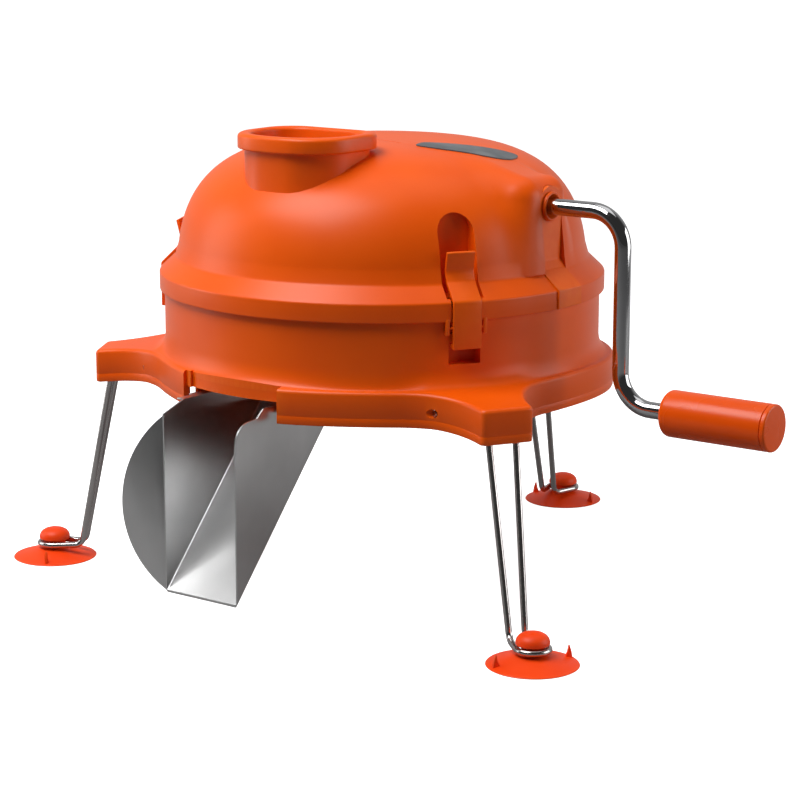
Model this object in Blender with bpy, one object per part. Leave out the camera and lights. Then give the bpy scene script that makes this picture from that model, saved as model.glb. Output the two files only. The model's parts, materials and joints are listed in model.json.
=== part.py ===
"""Hand-cranked rotary food cutter: a domed cover with a feed throat over a drum base on three
folding wire legs. The crank turns a bevel pinion, the pinion turns the crown gear, spindle and
cutting disc, and the slices fall through the base into a stainless chute.

Everything is modelled in metres about the drum's vertical axis, with +X along the crank shaft,
-Y towards the chute and z = 0 on the table. One empty then shifts the whole assembly, so that the
world origin is the bottom centre of its bounding box.
"""
from math import atan2, cos, degrees, hypot, pi, radians, sin

import bmesh
import bpy
from mathutils import Matrix, Vector

# ---- driving dimensions (metres) ------------------------------------------------------------
RIM_RADIUS = 0.140              # outside of the cover's rim band
RIM_BOTTOM = 0.1855
RIM_TOP = 0.1966
SHOULDER_TOP = 0.2085           # where the sloped shoulder meets the dome
DOME_RADIUS = 0.1286
DOME_BASE = 0.196
DOME_HEIGHT = 0.0825
DOME_PROFILE_POWER = 2.4        # superellipse exponents of the dome's outline
DOME_ROUND_POWER = 3.7
WALL = 0.003

NOSE_FACE_X = 0.125             # flat end face where the crank shaft comes out
NOSE_HALF_WIDTH = 0.0235
NOSE_TOP = 0.2640
SLOT_HALF_WIDTH = 0.0125

DRUM_RADIUS = 0.137
DRUM_TOP = 0.1925
FLOOR_TOP = 0.149
FLOOR_BOTTOM = 0.146
SKIRT_RADIUS = 0.1465
SKIRT_TOP = 0.1455
SKIRT_BOTTOM = 0.1245
FILLET_TOP = 0.1575
LOBE_RADIUS = 0.183
LOBE_HALF_WIDTH = 0.0165
LOBE_TOP = 0.1417
LOBE_BOTTOM = 0.121
LEG_ANGLES = (-150.0, -30.0, 90.0)
LEG_NAMES = ("left", "right", "rear")
LATCH_OFFSET_ANGLE = -2.6       # each latch sits just beside its leg's direction
LATCH_PIVOT = (0.1389, 0.0, 0.1817)
POCKET_BOTTOM = 0.1983          # low enough for the tab to swing in over the shoulder

SHAFT_HEIGHT = 0.245
ROD_RADIUS = 0.005
ARM_X = 0.1765
HANDLE_HEIGHT = 0.130
BEND_RADIUS = 0.021
GRIP_START = 0.2094
GRIP_END = 0.2765
GRIP_RADIUS = 0.014
END_CAP_END = 0.2795

THROAT_FRONT = 0.1095
THROAT_CORNER = 0.030
LIP_TOP = 0.288
LIP_BOTTOM = 0.2785
TUBE_BOTTOM = 0.1835

CHUTE_CENTRE = -0.005
CHUTE_HALF_WIDTH = 0.028
CHUTE_MOUTH_Y = -0.172
CHUTE_TIP_Z = 0.0185
CHUTE_TOP_Z = 0.1335
CHUTE_REAR_Y = -0.080
SHEET = 0.0010
WING_BULGE = 0.0260             # how far the curved wing reaches out from the cheek
WING_TURN = 30.0                # degrees that the wing leans forwards of square
NOTCH_LEFT = -0.0495
NOTCH_RIGHT = 0.0295
MOUTH_TOP = 0.1365              # lower edge of the stepped-back apron over the chute
RAIL_BOTTOM = 0.129             # ledges under the floor that carry the chute's flanges

DISC_HEIGHT = 0.1765
DISC_RADIUS = 0.124
DISC_THICKNESS = 0.0012
SPINDLE_RADIUS = 0.005
SPINDLE_TOP = 0.260
PINION_TEETH = 12
CROWN_TEETH = 24
CROWN_RADIUS = 0.022
FACE_WIDTH = 0.008

PIVOT_RADIAL = 0.1463           # the leg wires' pivot line inside the skirt
PIVOT_HALF = 0.0300
PIVOT_BLIND_END = 0.0292        # the far hole is blind, so its wire end is a little shorter
PIVOT_HEIGHT = 0.1340
WIRE_RADIUS = 0.0020
FOOT_RADIUS = 0.217
CUP_RADIUS = 0.027
GAP = 0.0003

BRACKET_TOP = 0.2650            # the gear bracket hangs from four posts under the dome
BRACKET_SCREWS = ((-0.017, -0.011), (-0.017, 0.011), (0.034, -0.011), (0.034, 0.011))
BLADE_ANGLES = (30.0, 150.0, 270.0)

ORIGIN = Vector((
    (END_CAP_END - FOOT_RADIUS * cos(radians(30)) - CUP_RADIUS) / 2,
    (FOOT_RADIUS + CUP_RADIUS + CHUTE_MOUTH_Y - WING_BULGE * sin(radians(WING_TURN))) / 2,
    0.0,
))

ROUND = 64                      # facets round the big shells


# ---- scene and helpers ----------------------------------------------------------------------
def clear_scene():
    for old in list(bpy.data.objects):
        bpy.data.objects.remove(old, do_unlink=True)


def material(name, colour, roughness, metallic=0.0):
    made = bpy.data.materials.new(name)
    made.use_nodes = True
    shader = made.node_tree.nodes["Principled BSDF"]
    shader.inputs["Base Color"].default_value = (*colour, 1.0)
    shader.inputs["Roughness"].default_value = roughness
    shader.inputs["Metallic"].default_value = metallic
    return made


def body_material(name):
    """Each sub-part's own material, from the finish that its kind of piece has."""
    finishes = {
        "orange": ((0.85, 0.12, 0.01), 0.35, 0.0),
        "cup": ((0.95, 0.08, 0.01), 0.45, 0.0),
        "steel": ((0.62, 0.60, 0.58), 0.28, 1.0),
        "chrome": ((0.80, 0.80, 0.80), 0.08, 1.0),
        "nylon": ((0.75, 0.74, 0.70), 0.50, 0.0),
        "label": ((0.15, 0.19, 0.23), 0.45, 0.0),
    }
    kind = PIECE_FINISH[name]
    colour, roughness, metallic = finishes[kind]
    return material(name, colour, roughness, metallic)


PIECE_FINISH = {}
ROOT = None


def finish(name, kind, mesh, pivot=(0.0, 0.0, 0.0)):
    """Make the named object with its origin at pivot, which is given in the drum's frame."""
    PIECE_FINISH[name] = kind
    place = Vector(pivot)
    mesh.transform(Matrix.Translation(-place))
    mesh.shade_smooth()
    mesh.set_sharp_from_angle(angle=radians(35))
    made = bpy.data.objects.new(name, mesh)
    bpy.context.scene.collection.objects.link(made)
    made.data.materials.append(body_material(name))
    made.location = place
    made.parent = ROOT
    return made


def to_mesh(bm, name="shape"):
    bmesh.ops.recalc_face_normals(bm, faces=bm.faces)
    mesh = bpy.data.meshes.new(name)
    bm.to_mesh(mesh)
    bm.free()
    return mesh


def ring_solid(rings):
    """A closed solid through rings of the same number of points, capped at both ends."""
    bm = bmesh.new()
    rows = [[bm.verts.new(point) for point in ring] for ring in rings]
    count = len(rows[0])
    for low, high in zip(rows, rows[1:]):
        for i in range(count):
            j = (i + 1) % count
            bm.faces.new((low[i], low[j], high[j], high[i]))
    bm.faces.new(rows[0])
    bm.faces.new(rows[-1])
    return to_mesh(bm)


def closed_rings(rings):
    """A closed tube of rings: the last ring joins the first again."""
    bm = bmesh.new()
    rows = [[bm.verts.new(point) for point in ring] for ring in rings]
    count = len(rows[0])
    for k, low in enumerate(rows):
        high = rows[(k + 1) % len(rows)]
        for i in range(count):
            j = (i + 1) % count
            bm.faces.new((low[i], low[j], high[j], high[i]))
    return to_mesh(bm)


def turned(profile, steps=48, axis="Z", centre=(0.0, 0.0, 0.0)):
    """Turn a closed (radius, height) profile round an axis through centre."""
    bm = bmesh.new()
    turn = {"Z": Matrix.Identity(3), "X": Matrix.Rotation(pi / 2, 3, "Y")}[axis]
    rows = []
    for k in range(steps):
        angle = 2 * pi * k / steps
        row = []
        for radius, height in profile:
            if radius == 0.0 and rows:
                row.append(rows[0][len(row)])
                continue
            point = Vector((radius * cos(angle), radius * sin(angle), height))
            row.append(bm.verts.new(turn @ point + Vector(centre)))
        rows.append(row)
    for k in range(steps):
        low, high = rows[k], rows[(k + 1) % steps]
        for i in range(len(profile)):
            j = (i + 1) % len(profile)
            corners = []
            for vert in (low[i], low[j], high[j], high[i]):
                if vert not in corners:
                    corners.append(vert)
            if len(corners) > 2:
                bm.faces.new(corners)
    return to_mesh(bm)


def prism(outline, low, high, axis="Z"):
    """Extrude a plane outline of (a, b) points between two heights along an axis."""
    order = {
        "Z": lambda a, b, h: (a, b, h),
        "X": lambda a, b, h: (h, a, b),
        "Y": lambda a, b, h: (a, h, b),
    }[axis]
    return ring_solid([[order(a, b, h) for a, b in outline] for h in (low, high)])


def block(low, high):
    """A box between two opposite corners."""
    outline = [(low[0], low[1]), (high[0], low[1]), (high[0], high[1]), (low[0], high[1])]
    return prism(outline, low[2], high[2])


def arc(centre, radius, start, end, steps):
    """Points on an arc from start to end, in degrees."""
    points = []
    for k in range(steps + 1):
        angle = radians(start + (end - start) * k / steps)
        points.append((centre[0] + radius * cos(angle), centre[1] + radius * sin(angle)))
    return points


def boolean(mesh, others, operation):
    """Cut, join or intersect a mesh with others, one after another."""
    for other in others:
        base = bpy.data.objects.new("base", mesh)
        tool = bpy.data.objects.new("tool", other)
        for helper in (base, tool):
            bpy.context.scene.collection.objects.link(helper)
        change = base.modifiers.new("change", "BOOLEAN")
        change.operation = operation
        change.solver = "EXACT"
        change.object = tool
        bpy.context.view_layer.update()
        evaluated = base.evaluated_get(bpy.context.evaluated_depsgraph_get())
        mesh = bpy.data.meshes.new_from_object(evaluated)
        for helper in (base, tool):
            bpy.data.objects.remove(helper, do_unlink=True)
    return mesh


def common(mesh, *tools):
    return boolean(mesh, tools, "INTERSECT")


def cut(mesh, *tools):
    return boolean(mesh, tools, "DIFFERENCE")


def union(mesh, *tools):
    return boolean(mesh, tools, "UNION")


def turned_about_z(mesh, angle):
    """A copy of a mesh turned about the drum's axis, angle in degrees."""
    copy = mesh.copy()
    copy.transform(Matrix.Rotation(radians(angle), 4, "Z"))
    return copy


def tube(outer, inner, low, high, centre=(0.0, 0.0), steps=12, axis="Z"):
    """A round post or sleeve between two heights; an inner radius of 0 leaves it solid."""
    profile = [(inner, low), (outer, low), (outer, high), (inner, high)]
    place = {"Z": (centre[0], centre[1], 0.0), "X": (0.0, centre[0], centre[1])}[axis]
    return turned(profile, steps, axis, place)


def rounded_path(corners, radius, steps):
    """A 3D polyline whose inner corners are replaced by arcs."""
    points = [Vector(corners[0])]
    for before, here, after in zip(corners, corners[1:], corners[2:]):
        before, here, after = Vector(before), Vector(here), Vector(after)
        incoming = (before - here).normalized()
        outgoing = (after - here).normalized()
        half = incoming.angle(outgoing) / 2
        centre = here + (incoming + outgoing).normalized() * (radius / sin(half))
        leave = here + incoming * (radius / sin(half) * cos(half))
        spoke = leave - centre
        turn = pi - 2 * half
        axis = incoming.cross(outgoing)
        for k in range(steps + 1):
            rotation = Matrix.Rotation(-turn * k / steps, 3, axis)
            points.append(centre + rotation @ spoke)
    points.append(Vector(corners[-1]))
    return points


def swept(path, radius, sides):
    """A round rod along a 3D path, with flat ends."""
    tangents = []
    for k in range(len(path)):
        ahead = path[min(k + 1, len(path) - 1)]
        behind = path[max(k - 1, 0)]
        tangents.append((ahead - behind).normalized())
    normal = tangents[0].orthogonal().normalized()
    rings = []
    for k, (point, tangent) in enumerate(zip(path, tangents)):
        if k:
            normal = (tangents[k - 1].rotation_difference(tangent) @ normal).normalized()
        side = tangent.cross(normal)
        ring = []
        for i in range(sides):
            angle = 2 * pi * i / sides
            ring.append(point + (normal * cos(angle) + side * sin(angle)) * radius)
        rings.append(ring)
    return ring_solid(rings)


# ---- the cover ------------------------------------------------------------------------------
def dome_radius(height, inset=0.0):
    """Radius of the dome's surface at a height, inset by a wall thickness."""
    top = DOME_HEIGHT - inset
    share = min(max((height - DOME_BASE) / top, 0.0), 1.0)
    return (DOME_RADIUS - inset) * (1 - share**DOME_PROFILE_POWER) ** (1 / DOME_ROUND_POWER)


def dome_points(inset, start, steps=9):
    """Profile points up the dome from a height to its apex, closer together near the top."""
    top = DOME_BASE + DOME_HEIGHT - inset
    points = []
    for k in range(steps):
        angle = pi / 2 * k / steps
        height = start + (top - start) * sin(angle)
        points.append((dome_radius(height, inset), height))
    points.append((0.0, top))
    return points


def throat_outline(offset):
    """Plan outline of the feed throat: a rounded D whose curved side faces the front."""
    half_width = 0.0365 + offset
    back = -0.0490 + offset
    points = []
    front = THROAT_FRONT + offset
    middle = half_width - THROAT_CORNER
    centre = -(((front - THROAT_CORNER) ** 2 - middle**2) ** 0.5)
    meet = degrees(atan2(centre, middle))       # where the corner arc touches the front arc
    points += arc((0.0, 0.0), front, -180 - meet, meet, 3)
    points += arc((middle, centre), THROAT_CORNER, meet, 0, 6)[1:]
    points += arc((half_width - 0.018, back - 0.018), 0.018, 0, 90, 4)
    points += arc((-half_width + 0.018, back - 0.018), 0.018, 90, 180, 4)
    points += arc((-middle, centre), THROAT_CORNER, 180, 180 - meet, 6)[:-1]
    return points


def nose_solid(inset):
    """The block on the dome's side that carries the crank shaft, with rounded top corners."""
    half = NOSE_HALF_WIDTH - inset
    top = NOSE_TOP - inset
    face = NOSE_FACE_X - inset
    corner = 0.012 - inset / 2
    low = RIM_TOP + 0.002
    outline = [(half + 0.004, low)] + arc((half - corner, top - corner), corner, 0, 90, 5)
    outline += arc((-half + corner, top - corner), corner, 90, 180, 5) + [(-half - 0.004, low)]
    crown_line = ((0.040, 0.010), (0.085, 0.0055), (0.104, 0.0005), (face - 0.004, -0.0022), (face, -0.008))
    rings = []
    for x, rise in crown_line:
        rings.append([(x, a, b + rise * (b - low) / (top - low)) for a, b in outline])
    return ring_solid(rings)


def latch_pocket(extra):
    """Round-topped recess over a latch, pointing along +X; extra grows it into its liner."""
    half = 0.0115 + extra
    floor_x = 0.1135 - extra
    middle = 0.2345
    arch = [(-half, POCKET_BOTTOM - extra)] + [(half, POCKET_BOTTOM - extra)]
    arch += arc((0.0, middle), half, 0, 180, 10)
    return prism(arch, floor_x, 0.150, axis="X")


def dome_cover():
    """Dome, sloped shoulder, rim band, crank nose and feed throat, as one hollow moulding."""
    outer = [(0.0, RIM_BOTTOM), (RIM_RADIUS, RIM_BOTTOM), (RIM_RADIUS, RIM_TOP)]
    outer += [(RIM_RADIUS - 0.0013, RIM_TOP + 0.0022), (0.1305, 0.2062)]
    outer += dome_points(0.0, SHOULDER_TOP)
    shell = turned(outer, ROUND)
    shell = union(shell, nose_solid(0.0))
    neck = prism(throat_outline(0.0), 0.215, LIP_BOTTOM + 0.001)
    lip_rings = []
    lip_path = ((0.0015, LIP_BOTTOM), (0.003, LIP_BOTTOM + 0.0015),
                (0.003, LIP_TOP - 0.002), (0.001, LIP_TOP))
    for offset, height in lip_path:
        lip_rings.append([(x, y, height) for x, y in throat_outline(offset)])
    shell = union(shell, neck, ring_solid(lip_rings))

    seat = DRUM_RADIUS + GAP
    inner = [(0.0, RIM_BOTTOM - 0.01), (seat, RIM_BOTTOM - 0.01), (seat, DRUM_TOP + GAP)]
    inner += [(0.1345, DRUM_TOP + GAP), (0.1345, 0.1965)]
    inner += dome_points(WALL, 0.2045)
    cavity = turned(inner, ROUND)
    cavity = union(cavity, nose_solid(WALL))
    liners = [turned_about_z(latch_pocket(0.0025), angle + LATCH_OFFSET_ANGLE) for angle in LEG_ANGLES]
    cavity = cut(cavity, *liners)
    feed_wall = prism(throat_outline(-0.0001), TUBE_BOTTOM, LIP_TOP - 0.003)
    shell = union(cut(shell, cavity), feed_wall)

    pockets = [turned_about_z(latch_pocket(0.0), angle + LATCH_OFFSET_ANGLE) for angle in LEG_ANGLES]
    slot_low = RIM_BOTTOM - 0.002
    slots = []
    for angle in LEG_ANGLES:
        slot = block((0.1300, -0.0105, slot_low), (0.150, 0.0105, 0.2150))
        slots.append(turned_about_z(slot, angle + LATCH_OFFSET_ANGLE))
    feed_hole = prism(throat_outline(-0.0032), TUBE_BOTTOM - 0.01, 0.300)
    slot_outline = [(-SLOT_HALF_WIDTH, slot_low), (SLOT_HALF_WIDTH, slot_low)]
    slot_outline += arc((0.0, SHAFT_HEIGHT), SLOT_HALF_WIDTH, 0, 180, 12)
    crank_slot = prism(slot_outline, 0.110, 0.150, axis="X")
    shell = cut(shell, *pockets, *slots, feed_hole, crank_slot)
    ears = []
    for angle in LEG_ANGLES:
        for side in (-1, 1):
            ear = block((0.1376, side * 0.0120 - 0.0013, 0.1780), (0.1412, side * 0.0120 + 0.0013, 0.1900))
            ears.append(turned_about_z(ear, angle + LATCH_OFFSET_ANGLE))
    shell = union(shell, *ears)
    solid_bosses = [tube(0.0040, 0.0, BRACKET_TOP + GAP, 0.2765, (x, y)) for x, y in BRACKET_SCREWS]
    holes = [tube(0.0017, 0.0, BRACKET_TOP - 0.001, 0.2735, (x, y)) for x, y in BRACKET_SCREWS]
    shell = cut(union(shell, *solid_bosses), *holes)
    return finish("dome_cover", "orange", shell)


def crank_slot_insert():
    """Filler that closes the cover's slot below the crank shaft, following nose and shoulder."""
    low = RIM_BOTTOM + 0.0004
    side = [(0.1217, 0.2590), (0.1217, 0.2048), (0.1347, 0.1972), (0.1376, 0.1950), (0.1376, low)]
    side += [(0.1410, low), (0.1410, 0.1970), (0.1395, 0.1995), (0.1310, 0.2070), (0.1256, 0.2095)]
    side += [(0.1254, 0.2590)]
    strip = prism(side, -SLOT_HALF_WIDTH, SLOT_HALF_WIDTH, axis="Y")
    half = SLOT_HALF_WIDTH - GAP
    arch = [(-half, 0.180), (half, 0.180)] + arc((0.0, SHAFT_HEIGHT), half, 0, 180, 12)
    strip = common(strip, prism(arch, 0.110, 0.150, axis="X"))
    bore = tube(0.0081, 0.0, 0.110, 0.140, (0.0, SHAFT_HEIGHT), 20, "X")
    return finish("crank_slot_insert", "orange", cut(strip, bore))


def crank_bush():
    """Flanged sleeve that the crank shaft turns in where it leaves the nose."""
    profile = [(0.0055, 0.1150), (0.0077, 0.1150), (0.0077, 0.1257), (0.0088, 0.1257), (0.0088, 0.1272)]
    profile += [(0.0080, 0.1278), (0.0055, 0.1278)]
    return finish("crank_bush", "orange", turned(profile, 20, "X", (0.0, 0.0, SHAFT_HEIGHT)))


def label_outline():
    """Plan outline of the name plate: a swept strip on the dome's top, towards the nose."""
    outline = [(0.0420, -0.0240), (0.0590, -0.0210), (0.0720, -0.0150), (0.0820, -0.0080), (0.0875, 0.0020)]
    outline += [(0.0885, 0.0110), (0.0870, 0.0205), (0.0830, 0.0290), (0.0760, 0.0215), (0.0660, 0.0100)]
    outline += [(0.0550, 0.0010), (0.0450, -0.0065), (0.0405, -0.0130)]
    return outline


def label_plate():
    """Blank grey name plate that lies on the dome, following its curve."""
    skins = []
    for lift in (0.0010, 0.0003):
        skins.append(turned([(0.0, 0.220)] + dome_points(-lift, 0.220), ROUND))
    plate = cut(common(prism(label_outline(), 0.240, 0.300), skins[0]), skins[1])
    return finish("label_plate", "label", plate)


# ---- gears and spindle, under the dome ------------------------------------------------------
def bevel_gear(teeth, pitch_radius, cone_length, bore, hub_back):
    """A bevel gear about +X with its cone's apex at the origin and its big end outwards."""
    pitch = Vector((cone_length, pitch_radius))
    along = pitch.normalized()
    outward = Vector((-along.y, along.x))
    module = 2 * pitch_radius / teeth
    tip = pitch + outward * module * 0.80
    root = pitch - outward * module * 1.15
    shrink = 1 - FACE_WIDTH * 0.75 / pitch.length
    front = Vector((cone_length * shrink - 0.0012, bore))
    back = Vector((cone_length + 0.0022, bore + hub_back))
    rear_bore = Vector((cone_length + 0.0022, bore))
    squeeze = radians(24.5 / teeth)             # how much narrower a tooth is at its tip
    sections = [(front, front, 0.0), (tip * shrink, root * shrink, squeeze), (tip, root, squeeze)]
    sections += [(back, back, 0.0), (rear_bore, rear_bore, 0.0)]
    rings = []
    for crest, valley, narrowing in sections:
        ring = []
        for k in range(teeth * 4):
            on_crest = k % 4 in (1, 2)
            x, radius = crest if on_crest else valley
            angle = 2 * pi * (k + 0.5) / (teeth * 4)
            if on_crest:
                angle += narrowing * (1 if k % 4 == 1 else -1)
            ring.append((x, radius * cos(angle), radius * sin(angle)))
        rings.append(ring)
    return closed_rings(rings)


def crank_pinion():
    """Small bevel gear on the crank shaft; its cone's apex lies on the spindle's axis."""
    pinion_radius = CROWN_RADIUS * PINION_TEETH / CROWN_TEETH
    mesh = bevel_gear(PINION_TEETH, pinion_radius, CROWN_RADIUS, SPINDLE_RADIUS + GAP, 0.0030)
    mesh.transform(Matrix.Translation((0.0, 0.0, SHAFT_HEIGHT)))
    return finish("crank_pinion", "nylon", mesh, (0.0, 0.0, SHAFT_HEIGHT))


def crown_gear():
    """Large bevel gear on the spindle, half a tooth out of step so that the teeth interlock."""
    cone_length = CROWN_RADIUS * PINION_TEETH / CROWN_TEETH
    mesh = bevel_gear(CROWN_TEETH, CROWN_RADIUS, cone_length, SPINDLE_RADIUS + GAP, 0.0070)
    mesh.transform(Matrix.Rotation(pi / CROWN_TEETH, 4, "X"))
    mesh.transform(Matrix.Rotation(pi / 2, 4, "Y"))
    mesh.transform(Matrix.Translation((0.0, 0.0, SHAFT_HEIGHT)))
    return finish("crown_gear", "nylon", mesh)


def spindle():
    """Vertical shaft with a flange that the cutting disc is clamped against."""
    seat = DISC_HEIGHT + DISC_THICKNESS + GAP
    profile = [(0.0, 0.1515), (SPINDLE_RADIUS, 0.1515), (SPINDLE_RADIUS, seat), (0.012, seat)]
    profile += [(0.012, seat + 0.0025), (SPINDLE_RADIUS, seat + 0.0025)]
    profile += [(SPINDLE_RADIUS, SPINDLE_TOP), (0.0, SPINDLE_TOP)]
    return finish("spindle", "steel", turned(profile, 16))


def spindle_bush():
    """Sleeve in the base's hub for the spindle's lower end."""
    return finish("spindle_bush", "nylon", tube(0.0080, 0.0054, 0.1503, 0.1590, steps=20))


def thrust_washer():
    """Washer between the crown gear and the bracket, taking the cutting thrust."""
    return finish("thrust_washer", "nylon", tube(0.0088, 0.0054, 0.2382, 0.2394, steps=20))


def cutting_disc():
    """Thin stainless disc with a window under each blade."""
    low = DISC_HEIGHT
    high = DISC_HEIGHT + DISC_THICKNESS
    profile = [(0.0054, low), (DISC_RADIUS, low), (DISC_RADIUS, high), (0.0054, high)]
    disc = turned(profile, 48)
    for angle in BLADE_ANGLES:
        window = block((0.042, -0.0060, low - 0.001), (0.112, 0.0030, high + 0.001))
        disc = cut(disc, turned_about_z(window, angle))
    return finish("cutting_disc", "steel", disc)


def blade_screw_places(angle):
    """Where a blade's two screws go through it, in the drum's frame."""
    places = []
    for radius in (0.055, 0.099):
        place = Matrix.Rotation(radians(angle), 2) @ Vector((radius, 0.0105))
        places.append((place.x, place.y))
    return places


def slicing_blade(name, angle):
    """A blade on the disc that rises over its window to a cutting edge."""
    seat = DISC_HEIGHT + DISC_THICKNESS + GAP
    section = [(0.0150, seat), (0.0150, seat + 0.0010), (0.0050, seat + 0.0010)]
    section += [(-0.0035, seat + 0.0032), (-0.0037, seat + 0.0029), (0.0050, seat)]
    blade = turned_about_z(prism(section, 0.043, 0.111, axis="X"), angle)
    for place in blade_screw_places(angle):
        blade = cut(blade, tube(0.0018, 0.0, seat - 0.001, seat + 0.004, place))
    return finish(name, "steel", blade)


def blade_screw(name, place):
    """Short screw that holds a blade down."""
    seat = DISC_HEIGHT + DISC_THICKNESS + GAP
    profile = [(0.0, seat), (0.0014, seat), (0.0014, seat + 0.0013), (0.0028, seat + 0.0013)]
    profile += [(0.0022, seat + 0.0026), (0.0, seat + 0.0026)]
    return finish(name, "steel", turned(profile, 10, "Z", (place[0], place[1], 0.0)))


def disc_nut():
    """Ribbed hand nut that clamps the disc against the spindle's flange."""
    ring = []
    for k in range(36):
        radius = 0.0150 if k % 3 else 0.0135
        ring.append((radius * cos(2 * pi * k / 36), radius * sin(2 * pi * k / 36)))
    body = prism(ring, 0.1665, DISC_HEIGHT - GAP)
    return finish("disc_nut", "nylon", cut(body, tube(0.0054, 0.0, 0.160, 0.180, steps=16)))


def gear_bracket():
    """Bracket under the dome that holds the inner end of the crank and the top of the spindle."""
    plate = block((-0.0220, -0.0155, 0.2620), (0.0390, 0.0155, BRACKET_TOP))
    centre_post = block((-0.0090, -0.0090, 0.2410), (0.0125, 0.0090, 0.2630))
    outer_post = block((0.0275, -0.0090, 0.2370), (0.0310, 0.0090, 0.2630))
    thrust_face = tube(0.0060, 0.0, 0.2397, 0.2420, steps=16)
    body = union(plate, centre_post, outer_post, thrust_face)
    spindle_bore = tube(0.0054, 0.0, 0.230, 0.2612, steps=16)
    crank_bore = tube(0.0054, 0.0, 0.0060, 0.0500, (0.0, SHAFT_HEIGHT), 16, "X")
    holes = [tube(0.0018, 0.0, 0.260, 0.267, (x, y)) for x, y in BRACKET_SCREWS]
    return finish("gear_bracket", "nylon", cut(body, spindle_bore, crank_bore, *holes))


def bracket_screw(name, place):
    """Screw up through the bracket into one of the dome's posts."""
    head = BRACKET_TOP - 0.0033
    profile = [(0.0, head - 0.0025), (0.0030, head - 0.0025), (0.0030, head)]
    profile += [(0.0014, head), (0.0014, head + 0.0108), (0.0, head + 0.0108)]
    return finish(name, "steel", turned(profile, 10, "Z", (place[0], place[1], 0.0)))


# ---- crank and grip -------------------------------------------------------------------------
def crank_rod():
    """One bent rod: shaft, arm and handle spindle."""
    corners = [(0.0063, 0.0, SHAFT_HEIGHT), (ARM_X, 0.0, SHAFT_HEIGHT)]
    corners += [(ARM_X, 0.0, HANDLE_HEIGHT), (GRIP_END - 0.004, 0.0, HANDLE_HEIGHT)]
    mesh = swept(rounded_path(corners, BEND_RADIUS, 7), ROD_RADIUS, 14)
    return finish("crank_rod", "chrome", mesh, (ARM_X, 0.0, SHAFT_HEIGHT))


def crank_collar():
    """Retaining collar on the shaft just inside the nose."""
    mesh = tube(0.0085, ROD_RADIUS + GAP, 0.1085, 0.1140, (0.0, SHAFT_HEIGHT), 20, "X")
    return finish("crank_collar", "nylon", mesh, (0.111, 0.0, SHAFT_HEIGHT))


def crank_grip():
    """Turned plastic grip that spins on the rod, with a rounded inner end."""
    bore = ROD_RADIUS + 0.0005
    profile = [(bore, GRIP_START), (0.0095, GRIP_START), (0.0125, GRIP_START + 0.0012)]
    profile += [(GRIP_RADIUS, GRIP_START + 0.0045), (GRIP_RADIUS, GRIP_END - 0.0003)]
    profile += [(0.0112, GRIP_END - 0.0003), (0.0112, GRIP_END - 0.0062), (bore, GRIP_END - 0.0062)]
    mesh = turned(profile, 28, "X", (0.0, 0.0, HANDLE_HEIGHT))
    return finish("crank_grip", "orange", mesh, (0.24, 0.0, HANDLE_HEIGHT))


def grip_retainer():
    """Push-on washer that keeps the grip on the rod, hidden under the end cap."""
    mesh = tube(0.0092, ROD_RADIUS + GAP, GRIP_END - 0.0058, GRIP_END - 0.0045, (0.0, HANDLE_HEIGHT), 20, "X")
    return finish("grip_retainer", "steel", mesh, (0.27, 0.0, HANDLE_HEIGHT))


def grip_end_cap():
    """Disc that closes the grip's outer end."""
    profile = [(0.0, GRIP_END), (GRIP_RADIUS, GRIP_END), (GRIP_RADIUS, END_CAP_END - 0.0012)]
    profile += [(GRIP_RADIUS - 0.0014, END_CAP_END), (0.0, END_CAP_END)]
    mesh = turned(profile, 28, "X", (0.0, 0.0, HANDLE_HEIGHT))
    return finish("grip_end_cap", "orange", mesh, (0.27, 0.0, HANDLE_HEIGHT))


# ---- drum base ------------------------------------------------------------------------------
def lobe_half_outline():
    """Half of one lobe and half of the neck beside it, from the lobe's middle to 60 degrees."""
    corner = 0.0032
    points = [(LOBE_RADIUS, 0.0)]
    points += arc((LOBE_RADIUS - corner, LOBE_HALF_WIDTH - corner), corner, 5, 80, 3)
    start = Vector((LOBE_RADIUS - 0.003, LOBE_HALF_WIDTH + 0.0002))
    bend = Vector((0.1475, 0.0205))
    end = Vector((0.1339, 0.0487))
    for k in range(1, 7):
        t = k / 6
        point = start * (1 - t) ** 2 + bend * 2 * t * (1 - t) + end * t * t
        points.append(tuple(point))
    for k in range(1, 6):
        angle = 20 + 40 * k / 5
        radius = 0.1442 - 0.0024 * cos(2 * pi * (angle - 28) / 64)
        points.append((radius * cos(radians(angle)), radius * sin(radians(angle))))
    return points


def base_outline():
    """The whole skirt outline: six mirrored halves round the drum."""
    half = lobe_half_outline()
    whole = []
    for angle in LEG_ANGLES:
        lobe = [(x, -y) for x, y in reversed(half[1:-1])] + half
        for x, y in lobe:
            turned_point = Matrix.Rotation(radians(angle), 2) @ Vector((x, y))
            whole.append((turned_point.x, turned_point.y))
    return whole


def offset_outline(outline, distance):
    """The outline moved inwards by a distance along its normals."""
    moved = []
    count = len(outline)
    for i in range(count):
        before = Vector(outline[i - 1])
        after = Vector(outline[(i + 1) % count])
        along = (after - before).normalized()
        here = Vector(outline[i])
        moved.append(tuple(here - Vector((along.y, -along.x)) * distance))
    return moved


def skirt_top(radius):
    """The plate's top falls gently outwards, towards the lobes' ends."""
    slope = (SKIRT_TOP - LOBE_TOP) / (LOBE_RADIUS - SKIRT_RADIUS)
    return SKIRT_TOP - slope * max(radius - SKIRT_RADIUS, 0.0)


def skirt_bottom(radius):
    """The skirt's lower edge drops a little towards the lobes' ends."""
    share = min(max((radius - 0.150) / 0.030, 0.0), 1.0)
    return SKIRT_BOTTOM - (SKIRT_BOTTOM - LOBE_BOTTOM) * share


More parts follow.
